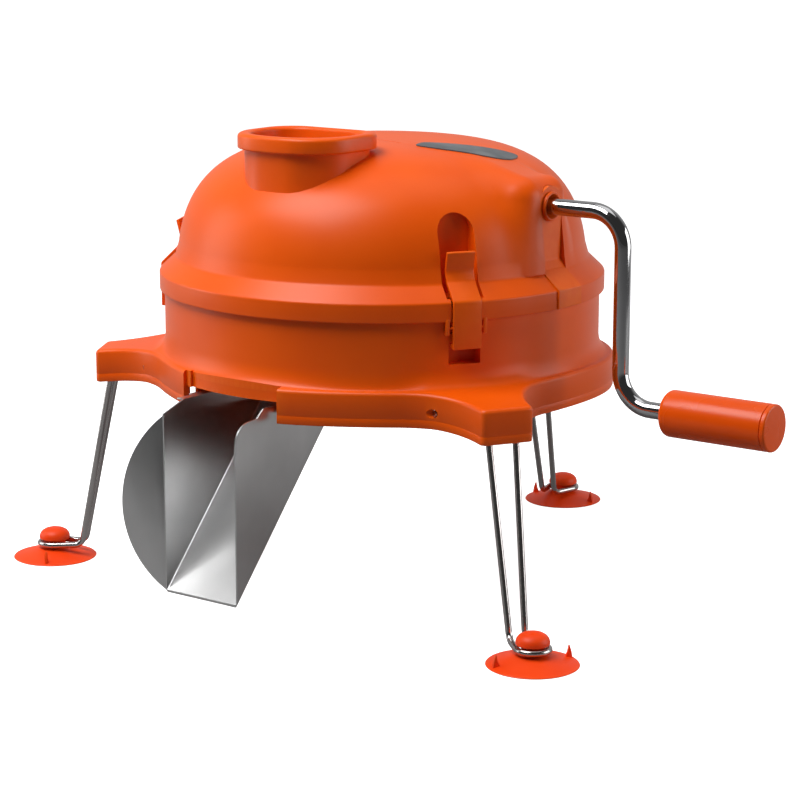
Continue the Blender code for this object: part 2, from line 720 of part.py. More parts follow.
def drum_shell():
    """Drum wall, floor, plate and skirt with its three lobes, open underneath."""
    outer = base_outline()
    inner = offset_outline(outer, WALL)
    wall_rings = []
    inside = DRUM_RADIUS - WALL
    wall = ((inside, FLOOR_TOP), (inside, DRUM_TOP), (DRUM_RADIUS, DRUM_TOP), (DRUM_RADIUS, FILLET_TOP))
    for radius, height in wall:
        wall_rings.append([(x * radius / hypot(x, y), y * radius / hypot(x, y), height) for x, y in outer])
    rings = list(wall_rings)
    for share in (0.35, 0.7, 1.0):
        ring = []
        for x, y in outer:
            reach = min(0.1465, hypot(x, y) - 0.0016)
            radius = DRUM_RADIUS + (reach - DRUM_RADIUS) * (1 - cos(share * pi / 2))
            height = SKIRT_TOP + (FILLET_TOP - SKIRT_TOP) * (1 - sin(share * pi / 2))
            ring.append((x * radius / hypot(x, y), y * radius / hypot(x, y), height))
        rings.append(ring)
    edge = offset_outline(outer, 0.0012)
    rings.append([(x, y, skirt_top(hypot(x, y)) - 0.0002) for x, y in edge])
    rings.append([(x, y, skirt_top(hypot(x, y)) - 0.0016) for x, y in outer])
    rings.append([(x, y, skirt_bottom(hypot(x, y))) for x, y in outer])
    rings.append([(x, y, skirt_bottom(hypot(*outer[i]))) for i, (x, y) in enumerate(inner)])
    rings.append([(x, y, skirt_top(hypot(x, y)) - WALL) for x, y in inner])
    rings.append([(x * 0.136 / hypot(x, y), y * 0.136 / hypot(x, y), 0.1425) for x, y in outer])
    rings.append([(x * 0.130 / hypot(x, y), y * 0.130 / hypot(x, y), FLOOR_BOTTOM) for x, y in outer])
    return ring_solid(rings)


def ring_sector(inner, outer, low, high, left, right):
    """A curved block between two radii at the front, from x = left to x = right."""
    outline = []
    for radius, order in ((inner, 1), (outer, -1)):
        start = degrees(atan2(-((radius**2 - left**2) ** 0.5), left))
        end = degrees(atan2(-((radius**2 - right**2) ** 0.5), right))
        stretch = arc((0.0, 0.0), radius, start, end, 8)
        outline += stretch if order == 1 else stretch[::-1]
    return prism(outline, low, high)


def drum_base():
    """Base moulding: the drum that catches the slices, on a skirted plate with three lobes."""
    body = drum_shell()
    hub = tube(0.0120, 0.0, 0.1475, 0.1580, steps=24)
    linings = []
    pockets = []
    for angle in LEG_ANGLES:
        turn = angle + LATCH_OFFSET_ANGLE
        lining = block((0.1250, -0.0130, 0.1570), (0.1355, 0.0130, DRUM_TOP - 0.0004))
        linings.append(turned_about_z(lining, turn))
        pockets.append(turned_about_z(block((0.1278, -0.0100, 0.1597), (0.1500, 0.0100, 0.1732)), turn))
        pockets.append(turned_about_z(block((0.1310, -0.0100, 0.1780), (0.1500, 0.0100, 0.2000)), turn))
    rails = []
    for side in (-1, 1):
        inner = CHUTE_CENTRE + side * (CHUTE_HALF_WIDTH + 0.0018)
        outer = CHUTE_CENTRE + side * (CHUTE_HALF_WIDTH + 0.0112)
        web = CHUTE_CENTRE + side * (CHUTE_HALF_WIDTH + 0.0092)
        ledge = RAIL_BOTTOM + 0.0025
        section = [(inner, RAIL_BOTTOM), (outer, RAIL_BOTTOM), (outer, 0.1440), (web, 0.1440)]
        section += [(web, ledge), (inner, ledge)]
        rails.append(prism(section, -0.1370, -0.0880, axis="Y"))
    apron = ring_sector(0.1372, 0.1405, MOUTH_TOP, 0.1445, NOTCH_LEFT - 0.001, NOTCH_RIGHT + 0.001)
    left_return = ring_sector(0.1375, 0.1420, 0.1250, 0.1435, NOTCH_LEFT - WALL, NOTCH_LEFT)
    right_return = ring_sector(0.1375, 0.1440, 0.1250, 0.1435, NOTCH_RIGHT, NOTCH_RIGHT + WALL)
    food_hole = block((CHUTE_CENTRE - 0.024, -0.1260, 0.140), (CHUTE_CENTRE + 0.024, -0.0840, 0.152))
    bush_bore = tube(0.0083, 0.0, 0.1500, 0.1650, steps=20)
    apron_step = ring_sector(0.1405, 0.1700, 0.115, 0.160, NOTCH_LEFT, NOTCH_RIGHT)
    mouth = ring_sector(0.1370, 0.1700, 0.115, MOUTH_TOP, NOTCH_LEFT, NOTCH_RIGHT)
    pivot_holes = []
    for angle in LEG_ANGLES:
        pin = tube(0.0026, 0.0, -PIVOT_BLIND_END, 0.040, steps=10)
        pin.transform(Matrix.Rotation(pi / 2, 4, "X"))
        pin.transform(Matrix.Translation((PIVOT_RADIAL, 0.0, PIVOT_HEIGHT)))
        pivot_holes.append(turned_about_z(pin, angle))
    body = cut(body, apron_step)
    body = union(body, hub, *linings, *rails, apron, left_return, right_return)
    body = cut(body, food_hole, bush_bore, mouth, *pockets, *pivot_holes)
    return finish("drum_base", "orange", body)


# ---- latches --------------------------------------------------------------------------------
def latch(name, angle):
    """Rocking clip: press the top tab in and the hooked lower end swings out of the drum."""
    outside = [(0.1415, 0.1690), (0.1415, 0.1970), (0.1400, 0.1998), (0.1310, 0.2075), (0.1285, 0.2125)]
    outside += [(0.1288, 0.2155), (0.1312, 0.2245)]
    inside = [(0.1292, 0.2250), (0.1267, 0.2160), (0.1264, 0.2120), (0.1292, 0.2058), (0.1383, 0.1983)]
    inside += [(0.1393, 0.1965), (0.1393, 0.1842), (0.1366, 0.1838), (0.1366, 0.1796), (0.1393, 0.1792)]
    inside += [(0.1393, 0.1722), (0.1348, 0.1722), (0.1348, 0.1706), (0.1393, 0.1690)]
    clip = prism([(x, z) for x, z in outside + inside], -0.0086, 0.0086, axis="Y")
    bore = tube(0.0011, 0.0, -0.020, 0.020, steps=10)
    bore.transform(Matrix.Rotation(pi / 2, 4, "X"))
    bore.transform(Matrix.Translation(LATCH_PIVOT))
    clip = cut(clip, bore)
    turn = angle + LATCH_OFFSET_ANGLE
    pivot = Matrix.Rotation(radians(turn), 3, "Z") @ Vector(LATCH_PIVOT)
    return finish(name, "orange", turned_about_z(clip, turn), pivot)

def latch_pin(name, angle):
    """Steel pin through a latch and the ears beside it."""
    pin = tube(0.0008, 0.0, -0.0104, 0.0104, steps=8)
    pin.transform(Matrix.Rotation(pi / 2, 4, "X"))
    pin.transform(Matrix.Translation(LATCH_PIVOT))
    return finish(name, "steel", turned_about_z(pin, angle + LATCH_OFFSET_ANGLE))


# ---- legs and feet --------------------------------------------------------------------------
def leg_wire(name, angle):
    """One bent wire: pivot ends in the skirt, two strands and a loop round the cup's neck."""
    loop = 0.0093
    foot_z = 0.0093
    blind_end = PIVOT_BLIND_END - 0.0008
    strand = [(PIVOT_RADIAL, blind_end, PIVOT_HEIGHT), (PIVOT_RADIAL, 0.0108, PIVOT_HEIGHT)]
    strand += [(0.1725, 0.0090, PIVOT_HEIGHT), (0.1975, 0.0050, foot_z)]
    strand += [(FOOT_RADIUS - loop * cos(radians(62)), loop * sin(radians(62)), foot_z)]
    path = rounded_path(strand, 0.0060, 3)
    bend = arc((FOOT_RADIUS, 0.0), loop, 105, -105, 10)
    path += [Vector((x, y, foot_z)) for x, y in bend]
    mirrored = [(x, -y, z) for x, y, z in reversed(strand[1:])]
    mirrored.append((PIVOT_RADIAL, -PIVOT_HALF, PIVOT_HEIGHT))
    path += rounded_path(mirrored, 0.0060, 3)
    mesh = swept(path, WIRE_RADIUS, 8)
    pivot = Matrix.Rotation(radians(angle), 3, "Z") @ Vector((PIVOT_RADIAL, 0.0, PIVOT_HEIGHT))
    return finish(name, "steel", turned_about_z(mesh, angle), pivot)


def suction_cup(name, angle):
    """Soft cup with a grooved neck for the wire, a domed button and two pull tabs."""
    profile = [(0.0, 0.0040), (0.0215, 0.0), (CUP_RADIUS - 0.0008, 0.0), (CUP_RADIUS, 0.0006)]
    profile += [(0.0110, 0.0060), (0.0066, 0.0070), (0.0066, 0.0116), (0.0098, 0.0122)]
    profile += [(0.0086, 0.0162), (0.0, 0.0194)]
    cup = turned(profile, 24)
    for side in (-1, 1):
        low, high = sorted((side * 0.0212, side * 0.0250))
        fin = prism([(low, 0.0022), (high, 0.0012), ((low + high) / 2, 0.0092)], -0.0009, 0.0009, axis="X")
        cup = union(cup, fin)
    cup.transform(Matrix.Translation((FOOT_RADIUS, 0.0, 0.0)))
    pivot = Matrix.Rotation(radians(angle), 3, "Z") @ Vector((PIVOT_RADIAL, 0.0, PIVOT_HEIGHT))
    return finish(name, "cup", turned_about_z(cup, angle), pivot)


# ---- chute ----------------------------------------------------------------------------------
def chute_trough():
    """Folded sheet chute: sloping floor, two cheeks, top flanges and a curved side wing."""
    slope = 1.120
    left = CHUTE_CENTRE - CHUTE_HALF_WIDTH
    right = CHUTE_CENTRE + CHUTE_HALF_WIDTH
    rear_z = CHUTE_TIP_Z + slope * (CHUTE_REAR_Y - CHUTE_MOUTH_Y)
    cheek = [(CHUTE_MOUTH_Y, CHUTE_TIP_Z), (CHUTE_REAR_Y, rear_z), (CHUTE_REAR_Y, CHUTE_TOP_Z)]
    left_top = [(CHUTE_MOUTH_Y + 0.018, CHUTE_TOP_Z), (CHUTE_MOUTH_Y, CHUTE_TOP_Z - 0.006)]
    right_top = [(CHUTE_MOUTH_Y + 0.026, CHUTE_TOP_Z), (CHUTE_MOUTH_Y + 0.020, CHUTE_TOP_Z - 0.005)]
    right_top += arc((CHUTE_MOUTH_Y + 0.013, CHUTE_TOP_Z - 0.0185), 0.013, 95, 175, 5)
    left_cheek = prism([(y, z) for y, z in cheek + left_top], left, left + SHEET, axis="X")
    right_cheek = prism([(y, z) for y, z in cheek + right_top], right - SHEET, right, axis="X")
    floor = [(CHUTE_MOUTH_Y, CHUTE_TIP_Z), (CHUTE_REAR_Y, rear_z), (CHUTE_REAR_Y, rear_z + 0.0014)]
    floor += [(CHUTE_MOUTH_Y, CHUTE_TIP_Z + 0.0014)]
    trough = union(left_cheek, prism(floor, left + 0.0002, right - 0.0002, axis="X"), right_cheek)
    for side, edge, start, width in ((-1, left, -0.1400, 0.0072), (1, right, -0.1335, 0.0058)):
        low, high = sorted((edge + side * width, edge - side * 0.0006))
        flange = block((low, start, CHUTE_TOP_Z - SHEET), (high, CHUTE_REAR_Y, CHUTE_TOP_Z - 0.0001))
        trough = union(trough, flange)
    under, over = CHUTE_TOP_Z - SHEET, CHUTE_TOP_Z - 0.0001
    front = block((left - 0.0050, -0.1535, under), (left + 0.0006, -0.1395, over))
    trough = union(trough, front, side_wing(left))
    return finish("chute_trough", "steel", trough, (CHUTE_CENTRE, CHUTE_MOUTH_Y, CHUTE_TOP_Z))


def side_wing(left):
    """D-shaped wing bent outwards from the left cheek's front edge."""
    low = CHUTE_TIP_Z + 0.0008
    high = CHUTE_TOP_Z - 0.0068
    chord = high - low
    radius = chord**2 / (8 * WING_BULGE) + WING_BULGE / 2
    middle = (low + high) / 2
    spread = degrees(atan2(chord / 2, radius - WING_BULGE))
    outline = [(radius * cos(radians(a)) - (radius - WING_BULGE), middle + radius * sin(radians(a)))
               for a in [spread - 2 * spread * k / 16 for k in range(17)]]
    outline += [(-0.0008, low), (-0.0008, high)]
    wing = prism(outline, -SHEET, 0.0, axis="Y")
    wing.transform(Matrix.Rotation(radians(180 + WING_TURN), 4, "Z"))
    wing.transform(Matrix.Translation((left + 0.0002, CHUTE_MOUTH_Y + 0.0002, 0.0)))
    return wing


# ---- assembly -------------------------------------------------------------------------------
def build():
    dome_cover()
    crank_slot_insert()
    crank_bush()
    label_plate()
    gear_bracket()
    for k, place in enumerate(BRACKET_SCREWS, 1):
        bracket_screw(f"bracket_screw_{k}", place)
    crank_rod()
    crank_pinion()
    crank_collar()
    crank_grip()
    grip_retainer()
    grip_end_cap()
    spindle()
    crown_gear()
    thrust_washer()
    cutting_disc()
    for k, angle in enumerate(BLADE_ANGLES, 1):
        slicing_blade(f"slicing_blade_{k}", angle)
        for letter, place in zip("ab", blade_screw_places(angle)):
            blade_screw(f"blade_screw_{k}{letter}", place)
    disc_nut()
    drum_base()
    spindle_bush()
    chute_trough()
    for name, angle in zip(LEG_NAMES, LEG_ANGLES):
        latch("latch_" + name, angle)
        latch_pin("latch_pin_" + name, angle)
        leg_wire("leg_wire_" + name, angle)
        suction_cup("suction_cup_" + name, angle)


clear_scene()
ROOT = bpy.data.objects.new("assembly_origin", None)
bpy.context.scene.collection.objects.link(ROOT)
ROOT.location = -ORIGIN
build()
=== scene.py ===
# %% [markdown]
# # A hand-cranked rotary food cutter
#
# The finished object stands on three springy wire legs: a round drum, a domed cover held by three
# clips, a chromed crank and a folded steel chute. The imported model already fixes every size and
# joint. This notebook builds the surfaces that a person sees, piece by piece, over that frame.

# %% Load the frame
import json
from math import asin, atan, atan2, cos, degrees, exp, hypot, pi, radians, sin, sqrt

import bmesh
import bpy
from mathutils import Matrix, Vector


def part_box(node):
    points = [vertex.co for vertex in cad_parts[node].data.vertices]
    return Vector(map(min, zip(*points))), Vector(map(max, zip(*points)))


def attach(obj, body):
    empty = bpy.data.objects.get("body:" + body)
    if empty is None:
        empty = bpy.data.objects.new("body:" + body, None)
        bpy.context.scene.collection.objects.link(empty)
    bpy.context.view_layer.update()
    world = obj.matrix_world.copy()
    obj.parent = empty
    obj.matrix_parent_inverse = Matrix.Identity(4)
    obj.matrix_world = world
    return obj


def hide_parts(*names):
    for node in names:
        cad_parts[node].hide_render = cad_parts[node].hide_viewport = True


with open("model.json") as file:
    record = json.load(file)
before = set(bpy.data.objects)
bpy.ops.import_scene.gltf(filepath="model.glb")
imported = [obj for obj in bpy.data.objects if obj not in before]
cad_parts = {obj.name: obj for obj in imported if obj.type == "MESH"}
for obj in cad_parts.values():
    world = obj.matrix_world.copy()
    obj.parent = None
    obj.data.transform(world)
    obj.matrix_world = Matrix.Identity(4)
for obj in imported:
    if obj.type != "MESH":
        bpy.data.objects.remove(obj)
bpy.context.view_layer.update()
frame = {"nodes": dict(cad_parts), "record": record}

print("frame loaded with", len(frame["nodes"]), "nodes")

# %% [markdown]
# Every piece is drawn in millimetres about the drum's vertical axis, because that is how the parts
# would be dimensioned on paper: +X along the crank shaft, -Y towards the chute. One function scales
# a finished piece to metres and sets it on the axis that the imported cutting disc gives. Another
# hangs the piece under the body it moves with and hides the imported node it stands for.

# %% Find the drum's axis and define how a piece is finished
MM = 0.001
disc_low, disc_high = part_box("cutting_disc")
AXIS = Vector(((disc_low[0] + disc_high[0]) / 2, (disc_low[1] + disc_high[1]) / 2, 0.0))
MATERIALS = {}


def add_object(name, data):
    """A new object in the scene."""
    made = bpy.data.objects.new(name, data)
    bpy.context.scene.collection.objects.link(made)
    return made


def link_mesh(name, bm):
    """Put a bmesh drawn in millimetres into the scene as an object in metres."""
    bmesh.ops.transform(bm, matrix=Matrix.Translation(AXIS) @ Matrix.Scale(MM, 4), verts=bm.verts)
    mesh = bpy.data.meshes.new(name)
    bm.to_mesh(mesh)
    bm.free()
    return add_object(name, mesh)


def finish_piece(made, node, material, smooth_angle=32):
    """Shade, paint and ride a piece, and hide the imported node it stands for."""
    mesh = made.data
    mesh.shade_smooth()
    mesh.set_sharp_from_angle(angle=radians(smooth_angle))
    mesh.materials.clear()
    mesh.materials.append(MATERIALS[material])
    body = next(name for name, nodes in frame["record"]["behaviour"]["bodies"].items() if node in nodes)
    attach(made, body)
    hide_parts(node)
    print(made.name, "has", len(mesh.polygons), "faces and rides on", body)
    return made


print("drum axis at", [round(value, 4) for value in AXIS])

# %% [markdown]
# Most of the object is turned or moulded, so two small helpers do the bulk of the drawing. The
# first rounds the corners of a drawn line with arcs, as a mould maker or a wire bender would, on
# paper or in space. The second spins an outline with the Spin operator and merges the seam and the
# poles.

# %% Outline and spin helpers
WELD = 0.0005


def rounded(points, radii, steps=4):
    """Replace inner corners of an open line by arcs of the given radii (0 keeps a corner)."""
    result = [Vector(points[0])]
    for i in range(1, len(points) - 1):
        here, radius = Vector(points[i]), radii[i]
        back = (Vector(points[i - 1]) - here).normalized()
        ahead = (Vector(points[i + 1]) - here).normalized()
        half = back.angle(ahead) / 2
        if radius == 0 or abs(half - pi / 2) < 0.01:
            result.append(here)
            continue
        centre = here + (back + ahead).normalized() * (radius / sin(half))
        reach = radius / sin(half) * cos(half)
        first = (here + back * reach - centre).normalized()
        last = (here + ahead * reach - centre).normalized()
        result += [centre + first.slerp(last, k / steps) * radius for k in range(steps + 1)]
    result.append(Vector(points[-1]))
    return result


def arc(centre, radius, start, end, steps):
    """Points on an arc, angles in degrees."""
    points = []
    for k in range(steps + 1):
        angle = radians(start + (end - start) * k / steps)
        points.append((centre[0] + radius * cos(angle), centre[1] + radius * sin(angle)))
    return points


def spun(outline, steps, closed=False):
    """Spin an (r, z) outline about the vertical axis."""
    bm = bmesh.new()
    verts = [bm.verts.new((point[0], 0.0, point[1])) for point in outline]
    edges = [bm.edges.new(pair) for pair in zip(verts, verts[1:])]
    if closed:
        edges.append(bm.edges.new((verts[-1], verts[0])))
    bmesh.ops.spin(bm, geom=verts + edges, cent=(0, 0, 0), axis=(0, 0, 1), dvec=(0, 0, 0),
                   angle=2 * pi, steps=steps, use_merge=True, use_duplicate=False)
    bmesh.ops.remove_doubles(bm, verts=bm.verts, dist=WELD)
    bmesh.ops.recalc_face_normals(bm, faces=bm.faces)
    return bm


def along_x(bm, height):
    """Lay a piece spun about Z down along +X, at a height above the table."""
    turn = Matrix.Translation((0, 0, height)) @ Matrix.Rotation(pi / 2, 4, "Y")
    bmesh.ops.transform(bm, matrix=turn, verts=bm.verts)
    return bm


def only_verts(result):
    """The vertices among what an operator returns."""
    return [item for item in result["geom"] if isinstance(item, bmesh.types.BMVert)]


def thicken(bm, faces, push):
    """Extrude faces into a closed block."""
    bmesh.ops.translate(bm, vec=push, verts=only_verts(bmesh.ops.extrude_face_region(bm, geom=faces)))
    bmesh.ops.recalc_face_normals(bm, faces=bm.faces)


def plate(outline, low, high, axis="Z"):
    """Extrude a flat outline between two positions along an axis."""
    place = "XYZ".index(axis)
    push = [0.0, 0.0, 0.0]
    push[place] = high - low
    bm = bmesh.new()
    spots = [(*point[:place], low, *point[place:]) for point in (tuple(p) for p in outline)]
    thicken(bm, [bm.faces.new([bm.verts.new(spot) for spot in spots])], push)
    return bm


def box_cutter(low, high):
    """A plain box between two corners, for cutting."""
    outline = [(low[0], low[1]), (high[0], low[1]), (high[0], high[1]), (low[0], high[1])]
    return plate(outline, low[2], high[2])


def loft(rings):
    """Skin rings of equal length, by extruding one chain of edges from ring to ring."""
    bm = bmesh.new()
    order = [bm.verts.new(point) for point in rings[0]]
    edges = [bm.edges.new(pair) for pair in zip(order, order[1:] + order[:1])]
    for ring in rings[1:]:
        grown = bmesh.ops.extrude_edge_only(bm, edges=edges)
        at_place = {tuple(v.co): v for v in only_verts(grown)}
        fresh = set(at_place.values())
        edges = [e for e in grown["geom"] if isinstance(e, bmesh.types.BMEdge) and set(e.verts) <= fresh]
        order = [at_place[tuple(vert.co)] for vert in order]
        for vert, point in zip(order, ring):
            vert.co = point
    bmesh.ops.remove_doubles(bm, verts=bm.verts, dist=WELD)
    bmesh.ops.recalc_face_normals(bm, faces=bm.faces)
    return bm


def bevelled(bm, width, segments=2, angle=30.0):
    """Round the edges that turn by more than an angle."""
    edges = [e for e in bm.edges if len(e.link_faces) == 2 and e.calc_face_angle() > radians(angle)]
    bmesh.ops.bevel(bm, geom=edges, offset=width, offset_type="OFFSET", segments=segments, profile=0.5,
                    affect="EDGES", material=-1, clamp_overlap=True)
    return bm


def turn_about_drum(bm, angle):
    """Turn a piece drawn along +X to its own direction round the drum, in degrees."""
    bmesh.ops.rotate(bm, cent=(0, 0, 0), matrix=Matrix.Rotation(radians(angle), 3, "Z"), verts=bm.verts)
    return bm


def round_drum(angles, draw):
    """Draw a piece afresh for each direction round the drum."""
    return [turn_about_drum(draw(), angle) for angle in angles.values()]


def gathered(parts):
    """Several bmeshes as one, which a Boolean can then use as a single tool."""
    whole = bmesh.new()
    mesh = bpy.data.meshes.new("part")
    for part in parts:
        part.to_mesh(mesh)
        part.free()
        whole.from_mesh(mesh)
    bpy.data.meshes.remove(mesh)
    return whole


def boolean(made, tool_bm, operation):
    """Apply an exact Boolean to an object, with a tool drawn in millimetres."""
    tool = link_mesh("tool", tool_bm)
    change = made.modifiers.new("change", "BOOLEAN")
    change.operation = operation
    change.solver = "EXACT"
    change.object = tool
    bpy.context.view_layer.update()
    evaluated = made.evaluated_get(bpy.context.evaluated_depsgraph_get())
    mesh = bpy.data.meshes.new_from_object(evaluated)
    made.modifiers.clear()
    made.data = mesh
    bpy.data.objects.remove(tool, do_unlink=True)


print("helpers ready")

# %% [markdown]
# ## Finishes
#
# The mouldings are all one orange: a glossy thermoplastic whose surface is never quite flat. Faint
# flow waves and a fine grain break up the reflections, and a painted highlight makes convex edges
# a little paler. Both effects serve several materials, so each is a node group that puts out a mask
# or a height and is placed in a material with that material's own values.

# %% Node groups shared by several finishes


def new_group(name, inputs, outputs):
    """A shader node group with float inputs (with defaults) and float outputs."""
    group = bpy.data.node_groups.new(name, "ShaderNodeTree")
    for label, value in inputs:
        socket = group.interface.new_socket(label, in_out="INPUT", socket_type="NodeSocketFloat")
        socket.default_value = value
    for label in outputs:
        group.interface.new_socket(label, in_out="OUTPUT", socket_type="NodeSocketFloat")
    return group, group.nodes.new("NodeGroupInput"), group.nodes.new("NodeGroupOutput")


def join(tree, *pairs):
    """Link outputs to inputs, pair by pair."""
    for source, target in pairs:
        tree.links.new(source, target)


def noise(group, coords, scale, detail):
    """A noise texture on the given coordinates; its scale is a number or a socket."""
    node = group.nodes.new("ShaderNodeTexNoise")
    node.inputs["Detail"].default_value = detail
    group.links.new(coords, node.inputs["Vector"])
    if isinstance(scale, float):
        node.inputs["Scale"].default_value = scale
    else:
        group.links.new(scale, node.inputs["Scale"])
    return node


def mould_grain_group():
    """Height and mottle of a moulded plastic surface."""
    group, entry, exit_ = new_group("mould_grain", [("Wave Scale", 22.0), ("Grain Scale", 900.0),
                                                    ("Grain Amount", 0.25)], ["Height", "Mottle"])
    coords = group.nodes.new("ShaderNodeTexCoord").outputs["Object"]
    wave = noise(group, coords, entry.outputs["Wave Scale"], 2.0)
    grain = noise(group, coords, entry.outputs["Grain Scale"], 3.0)
    mix = group.nodes.new("ShaderNodeMath")
    mix.operation = "MULTIPLY_ADD"
    join(group, (grain.outputs["Fac"], mix.inputs[0]), (entry.outputs["Grain Amount"], mix.inputs[1]),
         (wave.outputs["Fac"], mix.inputs[2]), (mix.outputs[0], exit_.inputs["Height"]),
         (wave.outputs["Fac"], exit_.inputs["Mottle"]))
    return group


def painted_edge_highlight_group():
    """Mask for a painted highlight: 1 on convex edges, broken up by noise."""
    group, entry, exit_ = new_group("painted_edge_highlight", [("Low", 0.52), ("High", 0.62)], ["Mask"])
    geometry = group.nodes.new("ShaderNodeNewGeometry")
    coords = group.nodes.new("ShaderNodeTexCoord").outputs["Object"]
    spots = noise(group, coords, 160.0, 4.0)
    level = group.nodes.new("ShaderNodeMapRange")
    product = group.nodes.new("ShaderNodeMath")
    product.operation = "MULTIPLY"
    join(group, (geometry.outputs["Pointiness"], level.inputs["Value"]),
         (entry.outputs["Low"], level.inputs["From Min"]), (entry.outputs["High"], level.inputs["From Max"]),
         (level.outputs["Result"], product.inputs[0]), (spots.outputs["Fac"], product.inputs[1]),
         (product.outputs[0], exit_.inputs["Mask"]))
    return group


MOULD_GRAIN = mould_grain_group()
PAINTED_EDGE_HIGHLIGHT = painted_edge_highlight_group()
print("node groups:", MOULD_GRAIN.name, PAINTED_EDGE_HIGHLIGHT.name)

# %% Material helpers


def new_material(name, roughness, metallic=0.0):
    """A material with a Principled shader whose constant values sit on its own sockets."""
    material = bpy.data.materials.new(name)
    material.use_nodes = True
    shader = material.node_tree.nodes["Principled BSDF"]
    shader.inputs["Roughness"].default_value = roughness
    shader.inputs["Metallic"].default_value = metallic
    shader.inputs["Specular IOR Level"].default_value = 0.5 if metallic else 0.28
    MATERIALS[name] = material
    return material.node_tree, shader


def place_group(tree, group, **values):
    """Place a node group in a material with that material's own values."""
    node = tree.nodes.new("ShaderNodeGroup")
    node.node_tree = group
    for label, value in values.items():
        node.inputs[label.replace("_", " ")].default_value = value
    return node


def ramp(tree, fac, stops):
    """A colour ramp driven by a value, between two stops of (position, colour)."""
    node = tree.nodes.new("ShaderNodeValToRGB")
    for element, (position, colour) in zip(node.color_ramp.elements, stops):
        element.position, element.color = position, (*colour, 1)
    tree.links.new(fac, node.inputs["Fac"])
    return node.outputs["Color"]


def bumped(tree, shader, height, strength, distance):
    """Feed a height through a Bump node into the shader's normal."""
    bump = tree.nodes.new("ShaderNodeBump")
    bump.inputs["Strength"].default_value = strength
    bump.inputs["Distance"].default_value = distance
    join(tree, (height, bump.inputs["Height"]), (bump.outputs["Normal"], shader.inputs["Normal"]))


def roughness_from(tree, shader, fac, low, high):
    """Let a mask move the roughness between two values."""
    level = tree.nodes.new("ShaderNodeMapRange")
    level.inputs["To Min"].default_value = low
    level.inputs["To Max"].default_value = high
    join(tree, (fac, level.inputs["Value"]), (level.outputs["Result"], shader.inputs["Roughness"]))


print("material helpers ready")

# %% [markdown]
# The orange plastic takes a small change of hue from the slow flow waves, and a painted highlight
# makes its convex edges a little paler. The soft cups are the same family of colour, but redder and
# duller. The grip is polished by the hand. The gears inside are white nylon, made the same way.

# %% Orange plastics and the cups' soft vinyl


def plastic(name, base, dark, pale, roughness, grain):
    """A moulded plastic with mottle, grain and a painted highlight that makes convex edges pale."""
    tree, shader = new_material(name, roughness)
    mould = place_group(tree, MOULD_GRAIN, Grain_Amount=grain)
    # Painted highlight: the mask mixes a paler colour into the base colour on every convex edge.
    edge_highlight_mask = place_group(tree, PAINTED_EDGE_HIGHLIGHT)
    body = ramp(tree, mould.outputs["Mottle"], [(0.30, dark), (0.70, base)])
    with_edge_highlight = tree.nodes.new("ShaderNodeMix")
    with_edge_highlight.data_type = "RGBA"
    with_edge_highlight.inputs["B"].default_value = (*pale, 1)
    join(tree, (edge_highlight_mask.outputs["Mask"], with_edge_highlight.inputs["Factor"]), (body, with_edge_highlight.inputs["A"]),
         (with_edge_highlight.outputs["Result"], shader.inputs["Base Color"]))
    roughness_from(tree, shader, mould.outputs["Mottle"], roughness - 0.03, roughness + 0.04)
    bumped(tree, shader, mould.outputs["Height"], 0.10, 0.0006)
    return shader


# The third colour of each plastic is its painted edge highlight.
plastic("orange_shell", (0.880, 0.105, 0.0), (0.830, 0.092, 0.0), (0.95, 0.18, 0.01), 0.36, 0.20)
plastic("orange_grip", (0.900, 0.100, 0.002), (0.850, 0.085, 0.001), (1.0, 0.22, 0.03), 0.27, 0.15)
plastic("cup_vinyl", (1.000, 0.064, 0.001), (0.930, 0.054, 0.001), (1.0, 0.14, 0.02), 0.42, 0.35)
plastic("white_nylon", (0.720, 0.700, 0.640), (0.650, 0.630, 0.570), (0.85, 0.84, 0.80), 0.45, 0.30)
print("plastics:", sorted(MATERIALS))

# %% [markdown]
# Three metals are in view, and the disc and its screws are a fourth. The crank is chrome plated, so
# it is almost a mirror. The legs are bright drawn wire with faint draw lines. The chute is brushed
# sheet: fine scratches run down the slope, which a noise texture stretched along that direction
# gives.

# %% Metals


def metal(name, colour, roughness, spread, stretch, bump_strength):
    """A bare metal whose fine lines run along the direction that is stretched least."""
    tree, shader = new_material(name, roughness, 1.0)
    coords = tree.nodes.new("ShaderNodeTexCoord").outputs["Object"]
    mapping = tree.nodes.new("ShaderNodeMapping")
    mapping.inputs["Scale"].default_value = stretch
    tree.links.new(coords, mapping.inputs["Vector"])
    lines = noise(tree, mapping.outputs["Vector"], 1.0, 4.0)
    clouds = noise(tree, coords, 28.0, 2.0)
    dark = tuple(value * 0.86 for value in colour)
    shade = ramp(tree, clouds.outputs["Fac"], [(0.32, dark), (0.68, colour)])
    tree.links.new(shade, shader.inputs["Base Color"])
    roughness_from(tree, shader, lines.outputs["Fac"], roughness - spread, roughness + spread)
    bumped(tree, shader, lines.outputs["Fac"], bump_strength, 0.0002)


metal("chrome_plate", (0.58, 0.58, 0.59), 0.06, 0.02, (60, 60, 60), 0.02)
metal("leg_steel", (0.58, 0.55, 0.54), 0.20, 0.05, (500, 500, 60), 0.03)
metal("brushed_sheet", (0.70, 0.70, 0.70), 0.30, 0.05, (1600, 30, 30), 0.02)
metal("disc_steel", (0.60, 0.60, 0.61), 0.25, 0.06, (300, 300, 300), 0.06)
print("metals:", sorted(MATERIALS))

# %% [markdown]
# The name plate is a satin grey film. It is left blank: only a cloudy change of tone and a faint
# bump from the same noise show, with no lettering.

# %% Grey film


